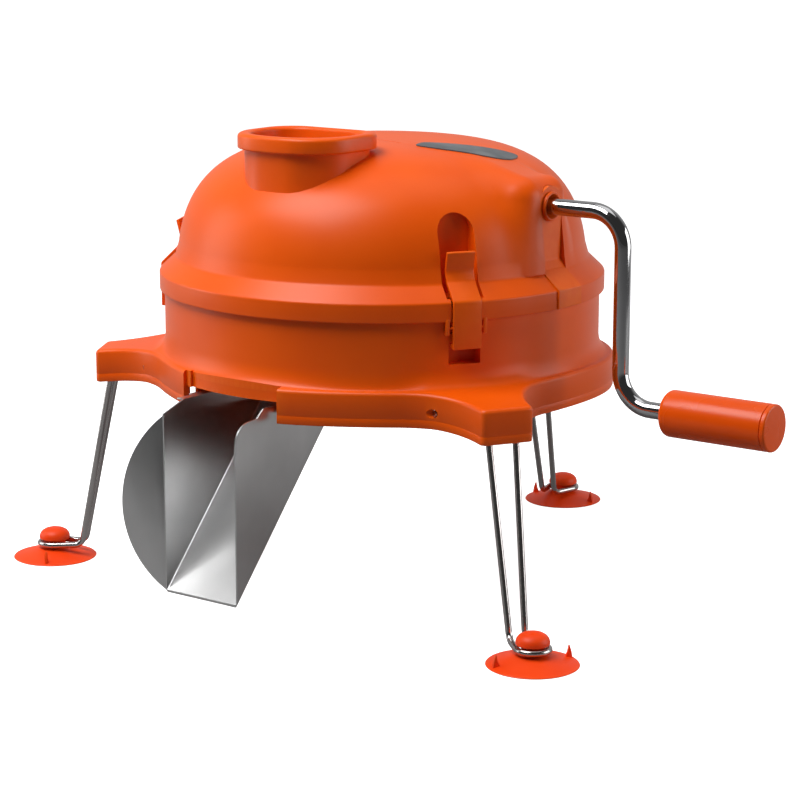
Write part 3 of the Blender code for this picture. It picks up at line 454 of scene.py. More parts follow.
def grey_film():
    """Satin grey film with a cloudy tone and a faint bump from the same noise."""
    tree, shader = new_material("grey_film", 0.38)
    coords = tree.nodes.new("ShaderNodeTexCoord").outputs["Object"]
    clouds = noise(tree, coords, 60.0, 2.0)
    shade = ramp(tree, clouds.outputs["Fac"], [(0.35, (0.09, 0.10, 0.11)), (0.65, (0.16, 0.17, 0.18))])
    tree.links.new(shade, shader.inputs["Base Color"])
    bumped(tree, shader, clouds.outputs["Fac"], 0.05, 0.0003)


grey_film()
print("finishes ready:", len(MATERIALS))

# %% [markdown]
# ## The domed cover
#
# The dome is a superellipse turned about the axis: flatter on top than a ball and steeper at the
# side. Below it a sloped shoulder leads to the rim band. The outline runs up the outside and back
# down the inside, so that one spin gives a closed shell with a real wall.

# %% Dome sizes and outline
RIM_R, RIM_LOW, RIM_HIGH = 140.0, 185.5, 196.6
DOME_R, DOME_Z, DOME_H = 128.6, 196.0, 82.5
SIDE_POWER, TOP_POWER = 3.7, 2.4
WALL = 3.0


def dome_r(z, inset=0.0):
    """Radius of the dome at a height, inset by a wall."""
    share = min(max((z - DOME_Z) / (DOME_H - inset), 0.0), 1.0)
    return (DOME_R - inset) * (1 - share**TOP_POWER) ** (1 / SIDE_POWER)


def dome_z(r, inset=0.0):
    """Height of the dome at a radius, inset by a wall."""
    share = min(r / (DOME_R - inset), 1.0)
    return DOME_Z + (DOME_H - inset) * (1 - share**SIDE_POWER) ** (1 / TOP_POWER)


def dome_curve(start, inset, side_step, turn_step, cap_steps):
    """Outline points from a height to the apex: by height up the side, then by radius over the cap."""
    heights, z = [], start
    while z < 266.0:
        heights.append(z)
        z += side_step if z < 238.0 else turn_step
    points = [(dome_r(z, inset), z) for z in heights]
    last = points[-1][0]
    for k in range(1, cap_steps + 1):
        r = last * (1 - k / cap_steps)
        points.append((r, dome_z(r, inset)))
    return points


outside = rounded([(137.4, RIM_LOW), (RIM_R, RIM_LOW), (RIM_R, RIM_HIGH), (130.1, 205.9),
                   (dome_r(214.5), 214.5)], [0, 0.6, 2.2, 4.5, 0], 6)
cover_outline = [tuple(point) for point in outside] + dome_curve(215.5, 0.0, 2.0, 0.7, 18)
cover_outline += dome_curve(204.5, WALL, 5.0, 2.0, 10)[::-1]
cover_outline += [(134.5, 196.5), (134.5, 192.9), (137.4, 192.9)]
print("cover outline has", len(cover_outline), "points")

# %% [markdown]
# The crank leaves through a nose that grows out of the dome with soft valleys on both sides. A
# Boolean would leave a hard line there. Instead each surface point is pushed outwards until it
# reaches a blend of two shapes, the dome and a round-cornered block, joined with a smooth minimum.
# The valley is wider on the side towards the chute. The columns of the spin are first crowded
# together where the nose's sides will be.

# %% Blend the nose into the dome
NOSE_X, NOSE_HALF, NOSE_Z = 125.0, 23.0, 261.6
NOSE_CORNER, BLEND, BLEND_CHANGE = 11.0, 12.0, 5.0
COLUMNS = 300
LATCH_ANGLES = {"left": -152.6, "right": -32.6, "rear": 87.4}


def column_angles(steps):
    """Column directions, closer together beside the nose."""
    def crowding(angle):
        return 1.0 + 2.6 * exp(-((abs(angle) - 11.5) / 4.5) ** 2)
    sums = [0.0]
    for k in range(3600):
        sums.append(sums[-1] + crowding(-180 + (k + 0.5) / 10))
    angles, i = [], 0
    for k in range(steps):
        target = sums[-1] * k / steps
        while sums[i + 1] < target:
            i += 1
        angles.append(-180 + i / 10 + 0.1 * (target - sums[i]) / (sums[i + 1] - sums[i]))
    return angles


def shape_value(point):
    """Below 0 inside the blended dome and nose, roughly in millimetres near the surface."""
    r = hypot(point.x, point.y)
    rise = max(point.z - DOME_Z, 0.0) / DOME_H
    dome = (((r / DOME_R) ** SIDE_POWER + rise**TOP_POWER) ** (1 / 2.9) - 1) * 95
    lean = NOSE_HALF + 0.08 * max(250 - point.z, 0.0)
    qx = point.x - (NOSE_X - NOSE_CORNER)
    qy = abs(point.y) - (lean - NOSE_CORNER)
    qz = point.z - (NOSE_Z + 0.045 * max(NOSE_X - point.x, 0.0) - NOSE_CORNER)
    outwards = Vector((max(qx, 0), max(qy, 0), max(qz, 0))).length
    block = outwards + min(max(qx, qy, qz), 0.0) - NOSE_CORNER
    blend = BLEND + BLEND_CHANGE * min(max(-point.y / BLEND, -1.0), 1.0)
    near = max(blend - abs(dome - block), 0.0) / blend
    return min(dome, block) - near * near * blend / 4


def last_inside(place, low, high, skin=0.0):
    """Halve a range again and again, to find where a line of places leaves the blended shape."""
    for _ in range(22):
        middle = (low + high) / 2
        if shape_value(place(middle)) < -skin:
            low = middle
        else:
            high = middle
    return low


def push_nose(bm):
    """Move the points near +X out along rays until they lie on the blended shape."""
    hub = Vector((0.0, 0.0, 205.0))
    count = 0
    for vert in bm.verts:
        r = hypot(vert.co.x, vert.co.y)
        if vert.co.x < 30 or vert.co.z < 206.2 or abs(vert.co.y) > 70:
            continue
        skin = WALL if r < dome_r(vert.co.z) - 1.0 and vert.co.z < dome_z(r) - 1.0 else 0.0
        if shape_value(vert.co) > -skin - 0.02:
            continue
        spoke = vert.co - hub
        vert.co = hub + spoke * last_inside(lambda share: hub + spoke * share, 1.0, 1.5, skin)
        count += 1
    return count


cover_bm = spun(cover_outline, COLUMNS, closed=True)
angles = column_angles(COLUMNS)
for vert in cover_bm.verts:
    radius = hypot(vert.co.x, vert.co.y)
    if radius > 0.01:
        column = round((degrees(atan2(vert.co.y, vert.co.x)) + 180) / 360 * COLUMNS) % COLUMNS
        spoke_angle = radians(angles[column])
        vert.co.x, vert.co.y = radius * cos(spoke_angle), radius * sin(spoke_angle)
pushed = push_nose(cover_bm)
cover = link_mesh("cover", cover_bm)
print("cover:", len(cover.data.vertices), "points,", pushed, "pushed into the nose")

# %% [markdown]
# The feed throat stands on the front of the dome. In plan it is a rounded D whose curved side
# faces forwards. The same plan at several offsets gives every ring of its wall and of the lip with
# rolled edges, so it is a loft of rings. It continues below as the tube that holds food against the
# blades.

# %% Feed throat
THROAT_FRONT, THROAT_CORNER = 109.5, 30.0
LIP_TOP, LIP_LOW, TUBE_LOW = 288.0, 278.5, 183.5


def throat_plan(offset):
    """Plan outline of the throat, grown by an offset."""
    half, back, front = 36.5 + offset, -49.0 + offset, THROAT_FRONT + offset
    middle = half - THROAT_CORNER
    centre = -sqrt((front - THROAT_CORNER) ** 2 - middle**2)
    meet = degrees(atan2(centre, middle))
    points = arc((0.0, 0.0), front, -180 - meet, meet, 4)
    points += arc((middle, centre), THROAT_CORNER, meet, 0, 18)[1:]
    points += arc((half - 18, back - 18), 18, 0, 90, 14)
    points += arc((-half + 18, back - 18), 18, 90, 180, 14)
    points += arc((-middle, centre), THROAT_CORNER, 180, 180 - meet, 18)[:-1]
    return points


def throat_ring(offset, z):
    """The throat plan at a height, as points for the loft."""
    return [(x, y, z) for x, y in throat_plan(offset)]


wall_path = rounded([(0.0, TUBE_LOW), (0.0, LIP_LOW), (3.0, LIP_LOW), (3.0, LIP_TOP), (-3.2, LIP_TOP),
                     (-3.2, TUBE_LOW), (0.0, TUBE_LOW)], [0, 0.8, 0.9, 2.4, 2.2, 0, 0], 5)
throat_bm = loft([throat_ring(offset, z) for offset, z in wall_path])
inside = throat_plan(-1.6)
boolean(cover, plate(inside, 170.0, 300.0), "DIFFERENCE")
boolean(cover, throat_bm, "UNION")
print("cover with throat:", len(cover.data.polygons), "faces")

# %% [markdown]
# Three clips hold the cover down. Behind each clip's finger tab the dome has an arched recess, so
# that a fingertip fits in. The recess has its own floor and walls inside the dome: a block kept
# only where it lies inside the dome is joined on first, and the recess is cut from it. The band is
# slotted for the clip, and two small ears below it carry the clip's pin.

# %% Latch recesses, slots and ears
RECESS_Z = 234.5


def arch(half, low, centre_z, steps=16):
    """A flat-bottomed outline with a round top, in (y, z)."""
    return [(-half, low), (half, low)] + arc((0.0, centre_z), half, 0, 180, steps)


inner_skin = [(0.0, 194.0), (136.0, 194.0), (136.0, 197.5), (129.0, 205.5)]
inner_skin += [(dome_r(z, 0.8), z) for z in (209.0, 214.0, 220.0, 227.0, 234.0, 241.0, 248.0, 255.0)]
pockets = link_mesh("pockets", spun(inner_skin + [(0.0, 255.0)], 128))
blocks = round_drum(LATCH_ANGLES, lambda: plate(arch(14.0, 195.8, RECESS_Z), 110.9, 133.0, "X"))
boolean(pockets, gathered(blocks), "INTERSECT")
pocket_bm = bmesh.new()
pocket_bm.from_mesh(pockets.data)
bpy.data.objects.remove(pockets, do_unlink=True)
back_to_mm = Matrix.Scale(1 / MM, 4) @ Matrix.Translation(-AXIS)
bmesh.ops.transform(pocket_bm, matrix=back_to_mm, verts=pocket_bm.verts)
ears = []
for angle in LATCH_ANGLES.values():
    for side in (-1, 1):
        ear = box_cutter((137.45, side * 11.7 - 1.3, 177.6), (139.9, side * 11.7 + 1.3, 187.0))
        ears.append(turn_about_drum(bevelled(ear, 0.5), angle))
boolean(cover, pocket_bm, "UNION")
boolean(cover, gathered(ears), "UNION")
for draw in (lambda: plate(arch(11.5, 198.3, RECESS_Z, 24), 113.5, 160.0, "X"),
             lambda: box_cutter((130.0, -9.6, 170.0), (150.0, 9.6, 214.0))):
    boolean(cover, gathered(round_drum(LATCH_ANGLES, draw)), "DIFFERENCE")
print("cover with recesses:", len(cover.data.polygons), "faces")

# %% [markdown]
# The crank drops in from below through a slot in the nose, which a filler strip then closes. The
# strip follows the nose, the shoulder and the band, and only a hairline shows round it.

# %% Crank slot and its filler strip
SHAFT_Z = 245.0
slot = arch(12.5, 180.0, SHAFT_Z, 24)
boolean(cover, plate(slot, 108.0, 150.0, "X"), "DIFFERENCE")
slit = box_cutter((3.0, -0.35, 277.7), (30.0, 0.35, 282.0))
bmesh.ops.rotate(slit, cent=(3.0, 0, 0), matrix=Matrix.Rotation(radians(-15.0), 3, "Z"), verts=slit.verts)
bmesh.ops.translate(slit, vec=(0.0, -12.0, 0.0), verts=slit.verts)
boolean(cover, slit, "DIFFERENCE")
finish_piece(cover, "dome_cover", "orange_shell")

strip_outer = rounded([(121.7, 259.0), (121.7, 204.8), (134.7, 197.2), (137.6, 195.0), (137.6, 185.9),
                       (140.7, 185.9), (140.7, 197.0), (128.2, 207.6), (125.3, 212.5), (125.3, 259.0)],
                      [0, 0, 0, 0, 0, 0.5, 2.0, 3.0, 3.0, 0], 5)
strip = link_mesh("crank_filler", plate(strip_outer, -14.0, 14.0, "Y"))
strip_front = plate(arch(12.2, 180.0, SHAFT_Z, 24), 108.0, 150.0, "X")
boolean(strip, strip_front, "INTERSECT")
bore = along_x(spun([(0.0, 100.0), (8.1, 100.0), (8.1, 150.0), (0.0, 150.0)], 48), SHAFT_Z)
boolean(strip, bore, "DIFFERENCE")
finish_piece(strip, "crank_slot_insert", "orange_shell")
bush_outline = rounded([(5.5, 115.0), (7.7, 115.0), (7.7, 125.7), (8.9, 125.7), (8.9, 127.6), (7.4, 127.6),
                        (5.5, 121.5), (5.5, 115.0)], [0, 0, 0, 0, 0.7, 0.5, 0.5, 0], 4)[:-1]
bush = link_mesh("shaft_bush", along_x(spun(bush_outline, 48, closed=True), SHAFT_Z))
finish_piece(bush, "crank_bush", "orange_shell")

# %% [markdown]
# The name plate is a thin film on top of the dome, a strip that sweeps towards the nose. Its
# outline is smoothed, filled and subdivided, and every point is then set on the blended surface, so
# it lies flush on the compound curve. It carries no lettering.

# %% Name plate
label_corners = [(42.0, -24.0), (59.0, -21.0), (72.0, -15.0), (82.0, -8.0), (87.5, 2.0), (88.5, 11.0),
                 (87.0, 20.5), (83.0, 29.0), (76.0, 21.5), (66.0, 10.0), (55.0, 1.0), (45.0, -6.5),
                 (40.5, -13.0)]


def smoothed(points, rounds):
    """Cut the corners of a closed outline (Chaikin's rule)."""
    points = [Vector(p) for p in points]
    for _ in range(rounds):
        cut = []
        for i, here in enumerate(points):
            after = points[(i + 1) % len(points)]
            cut += [here * 0.8 + after * 0.2, here * 0.2 + after * 0.8]
        points = cut
    return points


label_bm = bmesh.new()
label_bm.faces.new([label_bm.verts.new((p.x, p.y, 0.0)) for p in smoothed(label_corners, 2)])
for normal, start, stop in (((1, 0, 0), 42, 88), ((0, 1, 0), -22, 28)):
    for place in range(start, stop, 3):
        bmesh.ops.bisect_plane(label_bm, geom=label_bm.verts[:] + label_bm.edges[:] + label_bm.faces[:],
                               plane_co=Vector(normal) * place, plane_no=normal)
for vert in label_bm.verts:
    x, y, _ = vert.co
    vert.co.z = last_inside(lambda z: Vector((x, y, z)), 230.0, 285.0) + 0.15
thicken(label_bm, label_bm.faces[:], (0, 0, 0.6))
label = link_mesh("name_plate", label_bm)
finish_piece(label, "label_plate", "grey_film")

# %% [markdown]
# ## The base moulding
#
# Drum, plate and skirt are one moulding. From above, the skirt's outline has three lobes for the
# legs and shallow waists between them. Each ring of the loft has one point per outline point: near
# the drum the ring is a circle, further out it turns into the lobed outline. The edge is a true
# quarter round, made from offsets of the outline along its normals.

# %% Lobed outline of the skirt
DRUM_R, DRUM_TOP = 137.0, 192.5
LOBE_R, LOBE_HALF = 183.0, 16.5
SKIRT_R, SKIRT_TOP, LOBE_TOP = 146.5, 145.5, 141.7
LEG_ANGLES = {"left": -150.0, "right": -30.0, "rear": 90.0}


def lobe_half():
    """Outline from the middle of a lobe to the middle of a waist, along +X."""
    corner = 3.6
    points = [(LOBE_R, y) for y in (0.0, 3.5, 7.0, 10.0)]
    points += arc((LOBE_R - corner, LOBE_HALF - corner), corner, 4, 84, 6)
    start, bend = Vector((LOBE_R - 5.5, LOBE_HALF + 0.15)), Vector((147.5, 20.5))
    end = Vector((133.9, 48.7))
    for k in range(1, 17):
        t = k / 17
        points.append(tuple(start * (1 - t) ** 2 + bend * 2 * t * (1 - t) + end * t * t))
    for k in range(25):
        angle = 20.3 + 39.7 * k / 24
        r = 144.2 - 2.4 * cos(2 * pi * (angle - 28) / 64)
        points.append((r * cos(radians(angle)), r * sin(radians(angle))))
    return points


def whole_outline():
    """Six mirrored halves round the drum."""
    half, whole = lobe_half(), []
    for angle in LEG_ANGLES.values():
        turn = Matrix.Rotation(radians(angle), 2)
        lobe = [(x, -y) for x, y in reversed(half[1:-1])] + half
        whole += [tuple(turn @ Vector(point)) for point in lobe]
    return whole


def inset_outline(outline, distance):
    """Every point moved inwards along its normal."""
    result = []
    for i, here in enumerate(outline):
        along = (Vector(outline[(i + 1) % len(outline)]) - Vector(outline[i - 1])).normalized()
        result.append((here[0] - along.y * distance, here[1] + along.x * distance))
    return result


def plate_z(r):
    """The plate's top falls gently outwards, towards the lobes' ends."""
    return SKIRT_TOP - (SKIRT_TOP - LOBE_TOP) * max(r - SKIRT_R, 0.0) / (LOBE_R - SKIRT_R)


def skirt_low(r):
    """The skirt's lower edge drops a little towards the lobes' ends."""
    return 124.5 - 3.5 * min(max((r - 150.0) / 30.0, 0.0), 1.0)


skirt = whole_outline()
print("skirt outline has", len(skirt), "points")

# %% Loft the drum, plate and skirt
EDGE_ROUND = 2.4


def circle_ring(r, z):
    """A circle with one point in the direction of each outline point."""
    return [(x * r / hypot(x, y), y * r / hypot(x, y), z) for x, y in skirt]


drum_path = [(9.0, 149.0), (131.0, 149.0), (133.1, 149.9), (134.0, 152.0), (134.0, 192.0),
             (134.5, DRUM_TOP), (136.4, DRUM_TOP), (DRUM_R, 191.9), (DRUM_R, 175.0), (DRUM_R, 157.5)]
rings = [circle_ring(r, z) for r, z in drum_path]
edge_plan = inset_outline(skirt, EDGE_ROUND)
fillet_end = []
for (x, y), (ex, ey) in zip(skirt, edge_plan):
    reach = min(SKIRT_R, hypot(ex, ey) - 0.2)
    fillet_end.append((x * reach / hypot(x, y), y * reach / hypot(x, y)))
for k in range(1, 9):
    turn = pi / 2 * k / 8
    ring = []
    for (x, y), (fx, fy) in zip(skirt, fillet_end):
        r = DRUM_R + (hypot(fx, fy) - DRUM_R) * (1 - cos(turn))
        ring.append((x * r / hypot(x, y), y * r / hypot(x, y), SKIRT_TOP + 12.0 * (1 - sin(turn))))
    rings.append(ring)
for share in (0.25, 0.5, 0.75):
    ring = []
    for (fx, fy), (ex, ey) in zip(fillet_end, edge_plan):
        x, y = fx + (ex - fx) * share, fy + (ey - fy) * share
        ring.append((x, y, plate_z(hypot(x, y))))
    rings.append(ring)
for k in range(6):
    turn = pi / 2 * k / 5
    plan = inset_outline(skirt, EDGE_ROUND * (1 - sin(turn)))
    rings.append([(x, y, plate_z(hypot(x, y)) - EDGE_ROUND * (1 - cos(turn))) for x, y in plan])
for inset, rise in ((0.0, 5.5), (0.08, 5.3), (0.08, 5.2), (0.0, 5.0), (0.0, 0.8), (0.25, 0.2),
                    (0.9, 0.0), (3.0, 0.0)):
    plan = inset_outline(skirt, inset)
    rings.append([(x, y, skirt_low(hypot(*skirt[i])) + rise) for i, (x, y) in enumerate(plan)])
inner_plan = inset_outline(skirt, WALL)
rings.append([(x, y, plate_z(hypot(x, y)) - WALL) for x, y in inner_plan])
rings += [circle_ring(136.0, 142.5), circle_ring(130.0, 146.0), circle_ring(9.0, 146.0)]
base = link_mesh("drum", loft(rings + [rings[0]]))
print("drum loft:", len(base.data.polygons), "faces")

# %% [markdown]
# The rest of the base is added and cut: a hub for the spindle, thicker pads behind the clips with
# two pockets each, rails for the chute, the food hole, the stepped-back apron above the chute, and
# the holes that the wire legs hinge in.

# %% Details of the base
CHUTE_X, CHUTE_HALF = -5.0, 28.0
NOTCH_LEFT, NOTCH_RIGHT, MOUTH_TOP = -49.5, 29.5, 136.5
HINGE_R, HINGE_Z = 146.3, 134.0


def sector(inner, outer, low, high, left, right):
    """A curved block between two radii at the front, between two X positions."""
    outline = []
    for r in (inner, outer):
        start = degrees(atan2(-sqrt(r * r - left * left), left))
        end = degrees(atan2(-sqrt(r * r - right * right), right))
        stretch = arc((0.0, 0.0), r, start, end, 24)
        outline += stretch if r == inner else stretch[::-1]
    return plate(outline, low, high)


additions = [spun(rounded([(8.3, 147.0), (12.0, 147.0), (12.0, 158.0), (8.3, 158.0), (8.3, 147.0)],
                          [0, 0, 0.8, 0.8, 0], 3)[:-1], 64, closed=True)]
additions += round_drum(LATCH_ANGLES, lambda: box_cutter((125.0, -13.0, 157.0), (135.5, 13.0, 191.6)))
for side in (-1, 1):
    inner, web, outer = (CHUTE_X + side * (CHUTE_HALF + gap) for gap in (1.8, 9.2, 11.2))
    rail = [(inner, 129.0), (outer, 129.0), (outer, 146.5), (web, 146.5), (web, 131.5), (inner, 131.5)]
    additions.append(plate(rail, -136.0, -88.0, "Y"))
boolean(base, sector(140.6, 170.0, 110.0, 160.0, NOTCH_LEFT, NOTCH_RIGHT), "DIFFERENCE")
boolean(base, sector(137.3, 140.5, MOUTH_TOP, 144.5, NOTCH_LEFT - 1, NOTCH_RIGHT + 1), "UNION")
boolean(base, gathered(additions), "UNION")
returns = [sector(137.5, 142.0, 125.0, 143.5, NOTCH_LEFT - WALL, NOTCH_LEFT),
           sector(137.5, 144.0, 125.0, 143.5, NOTCH_RIGHT, NOTCH_RIGHT + WALL)]
boolean(base, gathered(returns), "UNION")
cuts = [box_cutter((CHUTE_X - 24, -126.0, 140.0), (CHUTE_X + 24, -84.0, 152.0))]
cuts += round_drum(LATCH_ANGLES, lambda: box_cutter((127.8, -10.0, 159.7), (150.0, 10.0, 173.2)))
cuts += round_drum(LATCH_ANGLES, lambda: box_cutter((131.0, -9.5, 178.0), (150.0, 9.5, 200.0)))
boolean(base, gathered(cuts), "DIFFERENCE")


def hinge_hole():
    """A blind bore across a lobe, for the end of a leg's wire."""
    hole = spun([(0.0, -29.2), (2.6, -29.2), (2.6, 40.0), (0.0, 40.0)], 24)
    lay = Matrix.Translation((HINGE_R, 0.0, HINGE_Z)) @ Matrix.Rotation(pi / 2, 4, "X")
    bmesh.ops.transform(hole, matrix=lay, verts=hole.verts)
    return hole


mouth = sector(137.0, 175.0, 110.0, MOUTH_TOP, NOTCH_LEFT, NOTCH_RIGHT)
boolean(base, gathered([mouth] + round_drum(LEG_ANGLES, hinge_hole)), "DIFFERENCE")
finish_piece(base, "drum_base", "orange_shell")

# %% [markdown]
# ## Clips, legs and cups
#
# A clip is a curved strip of plastic: a finger tab at the top that leans back into the recess, a
# bend that follows the shoulder, a flat leaf, and a hook at the bottom that snaps into the drum's
# pocket. It is one side outline pushed out to the clip's width, with every long edge rounded.

# %% Rocking clips
clip_outer = [(141.5, 169.2), (141.5, 197.2), (130.9, 207.6), (128.4, 213.0), (131.2, 224.6)]
clip_inner = [(129.2, 225.0), (126.4, 213.0), (129.1, 205.9), (139.3, 196.4), (139.3, 184.2), (136.6, 183.8),
              (136.6, 179.6), (139.3, 179.2), (139.3, 172.2), (134.8, 172.2), (134.8, 170.8), (139.3, 169.2)]
clip_outline = rounded(clip_outer + [clip_inner[0]], [0, 3.0, 5.0, 6.0, 0.9, 0], 5)[:-1]
clip_radii = [0, 5.0, 4.0, 2.0, 0, 0, 0, 0, 0.4, 0.5, 0.4, 0.6, 0]
clip_outline += rounded(clip_inner + [clip_outer[0]], clip_radii, 4)[:-1]
for side, angle in LATCH_ANGLES.items():
    clip = plate(clip_outline, -8.8, 8.8, "Y")
    bevelled(clip, 0.45, 2, 60.0)
    bmesh.ops.recalc_face_normals(clip, faces=clip.faces)
    finish_piece(link_mesh("clip_" + side, turn_about_drum(clip, angle)), "latch_" + side, "orange_shell")

# %% [markdown]
# Each leg is one length of springy wire: both ends hinge in the skirt, and the middle wraps round
# the neck of the cup. A curve through its corners is the natural way to draw bent wire. The corners
# are rounded first, so that the curve is the wire's true centre line, and a round bevel gives it
# thickness before it becomes a mesh.

# %% Wire helper


def wire(name, path, radius, resolution):
    """A round wire along a path, made a mesh in place."""
    curve = bpy.data.curves.new(name, "CURVE")
    curve.dimensions = "3D"
    curve.bevel_depth = radius * MM
    curve.bevel_resolution = resolution
    curve.use_fill_caps = True
    spline = curve.splines.new("POLY")
    spline.points.add(len(path) - 1)
    for spot, point in zip(spline.points, path):
        spot.co = (*(AXIS + Vector(point) * MM), 1.0)
    drawn = add_object(name, curve)
    bpy.context.view_layer.update()
    mesh = bpy.data.meshes.new_from_object(drawn.evaluated_get(bpy.context.evaluated_depsgraph_get()))
    bpy.data.objects.remove(drawn, do_unlink=True)
    return add_object(name, mesh)


print("wire helper ready")

# %% Legs and suction cups
FOOT_R, WIRE_R, LOOP_R, LOOP_Z = 217.0, 2.0, 9.3, 9.3


def leg_path():
    """Centre line of a leg, drawn along +X: hinge, shin, loop round the cup's neck, and back."""
    side = [(HINGE_R, 30.0, HINGE_Z), (HINGE_R, 10.8, HINGE_Z), (172.5, 9.0, HINGE_Z), (197.5, 5.0, LOOP_Z)]
    toe = Vector((197.5, 5.0))
    to_loop = toe - Vector((FOOT_R, 0.0))
    tangent = degrees(atan2(to_loop.y, to_loop.x)) - degrees(pi / 2 - asin(LOOP_R / to_loop.length))
    loop = [(x, y, LOOP_Z) for x, y in arc((FOOT_R, 0.0), LOOP_R, tangent, -tangent, 40)]
    there = rounded(side + [loop[0]], [6.0] * 5, 8)
    back = [Vector((p.x, -p.y, p.z)) for p in reversed(there)]
    there[0].y = 28.4
    return there + [Vector(p) for p in loop[1:-1]] + back


cup_outline = [(0.0, 3.6), (12.0, 2.6), (20.0, 0.9), (24.0, 0.0), (26.4, 0.0), (27.0, 0.35), (26.6, 0.8),
               (24.0, 1.5), (18.0, 3.1), (13.0, 4.7), (10.0, 5.8), (7.8, 6.4), (6.9, 7.1), (6.6, 8.2),
               (6.6, 10.6), (7.0, 11.5), (8.2, 11.8), (9.4, 12.0), (9.9, 12.6), (9.9, 14.0), (9.4, 15.6),
               (8.2, 17.2), (6.2, 18.4), (3.6, 19.2), (0.0, 19.4)]
fin_outline = [(20.4, 1.0), (25.4, 0.6), (24.6, 5.0), (23.2, 9.2), (22.2, 5.0)]
for side, angle in LEG_ANGLES.items():
    path = [Matrix.Rotation(radians(angle), 3, "Z") @ point for point in leg_path()]
    finish_piece(wire("wire_leg_" + side, path, WIRE_R, 6), "leg_wire_" + side, "leg_steel", 50)
    cup_bm = spun(cup_outline, 96)
    bmesh.ops.translate(cup_bm, vec=(FOOT_R, 0, 0), verts=cup_bm.verts)
    cup = link_mesh("cup_" + side, turn_about_drum(cup_bm, angle))
    for hand in (-1, 1):
        fin = plate([(hand * y, z) for y, z in fin_outline], FOOT_R - 0.9, FOOT_R + 0.9, "X")
        boolean(cup, turn_about_drum(bevelled(fin, 0.35, 2, 60.0), angle), "UNION")
    finish_piece(cup, "suction_cup_" + side, "cup_vinyl")

# %% [markdown]
# ## The crank
#
# The crank is one chromed rod with two bends of the same radius. The hand grip turns freely on it:
# a plain barrel with a well rounded inner end and a separate disc that closes the outer end.

# %% Crank rod and grip
ARM_X, HANDLE_Z, GRIP_START, GRIP_END, ROD_BEND = 176.5, 130.0, 209.4, 276.2, 21.0
rod = rounded([(6.3, 0, SHAFT_Z), (ARM_X, 0, SHAFT_Z), (ARM_X, 0, HANDLE_Z), (272.5, 0, HANDLE_Z)],
              [0, ROD_BEND, ROD_BEND, 0], 20)
finish_piece(wire("crank_rod_bent", rod, 5.0, 14), "crank_rod", "chrome_plate", 50)
grip_outline = rounded([(5.5, GRIP_START), (9.0, GRIP_START), (14.0, GRIP_START), (14.0, GRIP_END),
                        (11.2, GRIP_END), (11.2, 270.3), (5.5, 270.3), (5.5, GRIP_START)],
                       [0, 0, 3.6, 0.5, 0, 0, 0, 0], 6)[:-1]
grip = link_mesh("hand_grip", along_x(spun(grip_outline, 96, closed=True), HANDLE_Z))
finish_piece(grip, "crank_grip", "orange_grip")
cap_outline = rounded([(0.0, 276.5), (14.0, 276.5), (14.0, 279.5), (0.0, 279.5)], [0, 0.3, 1.2, 0], 5)
cap = link_mesh("grip_end", along_x(spun(cap_outline, 96), HANDLE_Z))
finish_piece(cap, "grip_end_cap", "orange_grip")

# %% [markdown]
# ## The chute
#
# The chute is folded from thin sheet: a channel that slopes down to the mouth. The channel is a U
# section with real bend radii, pushed out along the slope and then kept only inside the chute's
# side view. Flanges at the top slide in the base's rails, and a curved wing is bent out sideways
# from the left cheek.

# %% Folded sheet chute
MOUTH_Y, TIP_Z, TOP_Z, REAR_Y, SLOPE, SHEET = -172.0, 18.5, 133.5, -80.0, 1.12, 1.0
left, right = CHUTE_X - CHUTE_HALF, CHUTE_X + CHUTE_HALF


def channel():
    """U section with rounded bends, pushed out along the slope."""
    outer = rounded([(left, 95.0), (left, 0.0), (right, 0.0), (right, 95.0)], [0, 1.8, 1.8, 0], 5)
    inner = rounded([(right - SHEET, 95.0), (right - SHEET, SHEET), (left + SHEET, SHEET),
                     (left + SHEET, 95.0)], [0, 0.8, 0.8, 0], 5)
    section = plate(outer + inner, -12.0, 150.0, "Y")
    tilt = Matrix.Translation((0, MOUTH_Y, TIP_Z)) @ Matrix.Rotation(atan(SLOPE), 4, "X")
    bmesh.ops.transform(section, matrix=tilt, verts=section.verts)
    return section


chute = link_mesh("chute_sheet", channel())
side_view = [(MOUTH_Y, 10.0), (REAR_Y, 10.0), (REAR_Y, TOP_Z), (MOUTH_Y + 19, TOP_Z),
             (MOUTH_Y + 18, TOP_Z - 0.1), (MOUTH_Y, TOP_Z - 6.0)]
boolean(chute, plate(side_view, left - 3, right + 3, "X"), "INTERSECT")
corner = [(MOUTH_Y - 2, TOP_Z + 3), (MOUTH_Y + 27, TOP_Z + 3), (MOUTH_Y + 26, TOP_Z),
          (MOUTH_Y + 20, TOP_Z - 5.0)]
corner += arc((MOUTH_Y + 13, TOP_Z - 18.5), 13.0, 95, 180, 12) + [(MOUTH_Y - 2, TOP_Z - 19)]
boolean(chute, plate(corner, right - 5, right + 3, "X"), "DIFFERENCE")
flanges = []
for side, edge, start, width in ((-1, left, -140.0, 7.2), (1, right, -133.5, 5.8)):
    low, high = sorted((edge + side * width, edge - side * SHEET))
    flanges.append(bevelled(box_cutter((low, start, TOP_Z - SHEET), (high, REAR_Y, TOP_Z)), 0.3, 2))
tab = box_cutter((left - 5.0, -153.5, TOP_Z - SHEET), (left + SHEET, -139.0, TOP_Z))
flanges.append(bevelled(tab, 0.3, 2))
for flange in flanges:
    boolean(chute, flange, "UNION")
low, high = TIP_Z + 0.8, TOP_Z - 6.8
chord, bulge = high - low, 26.0
radius = chord**2 / (8 * bulge) + bulge / 2
spread = degrees(asin(chord / 2 / radius))
wing_outline = arc((-(radius - bulge), (low + high) / 2), radius, spread, -spread, 40)
wing_outline += [(-0.8, low), (-0.8, high)]
wing = bevelled(plate(wing_outline, -SHEET, 0.0, "Y"), 0.25, 2, 60.0)
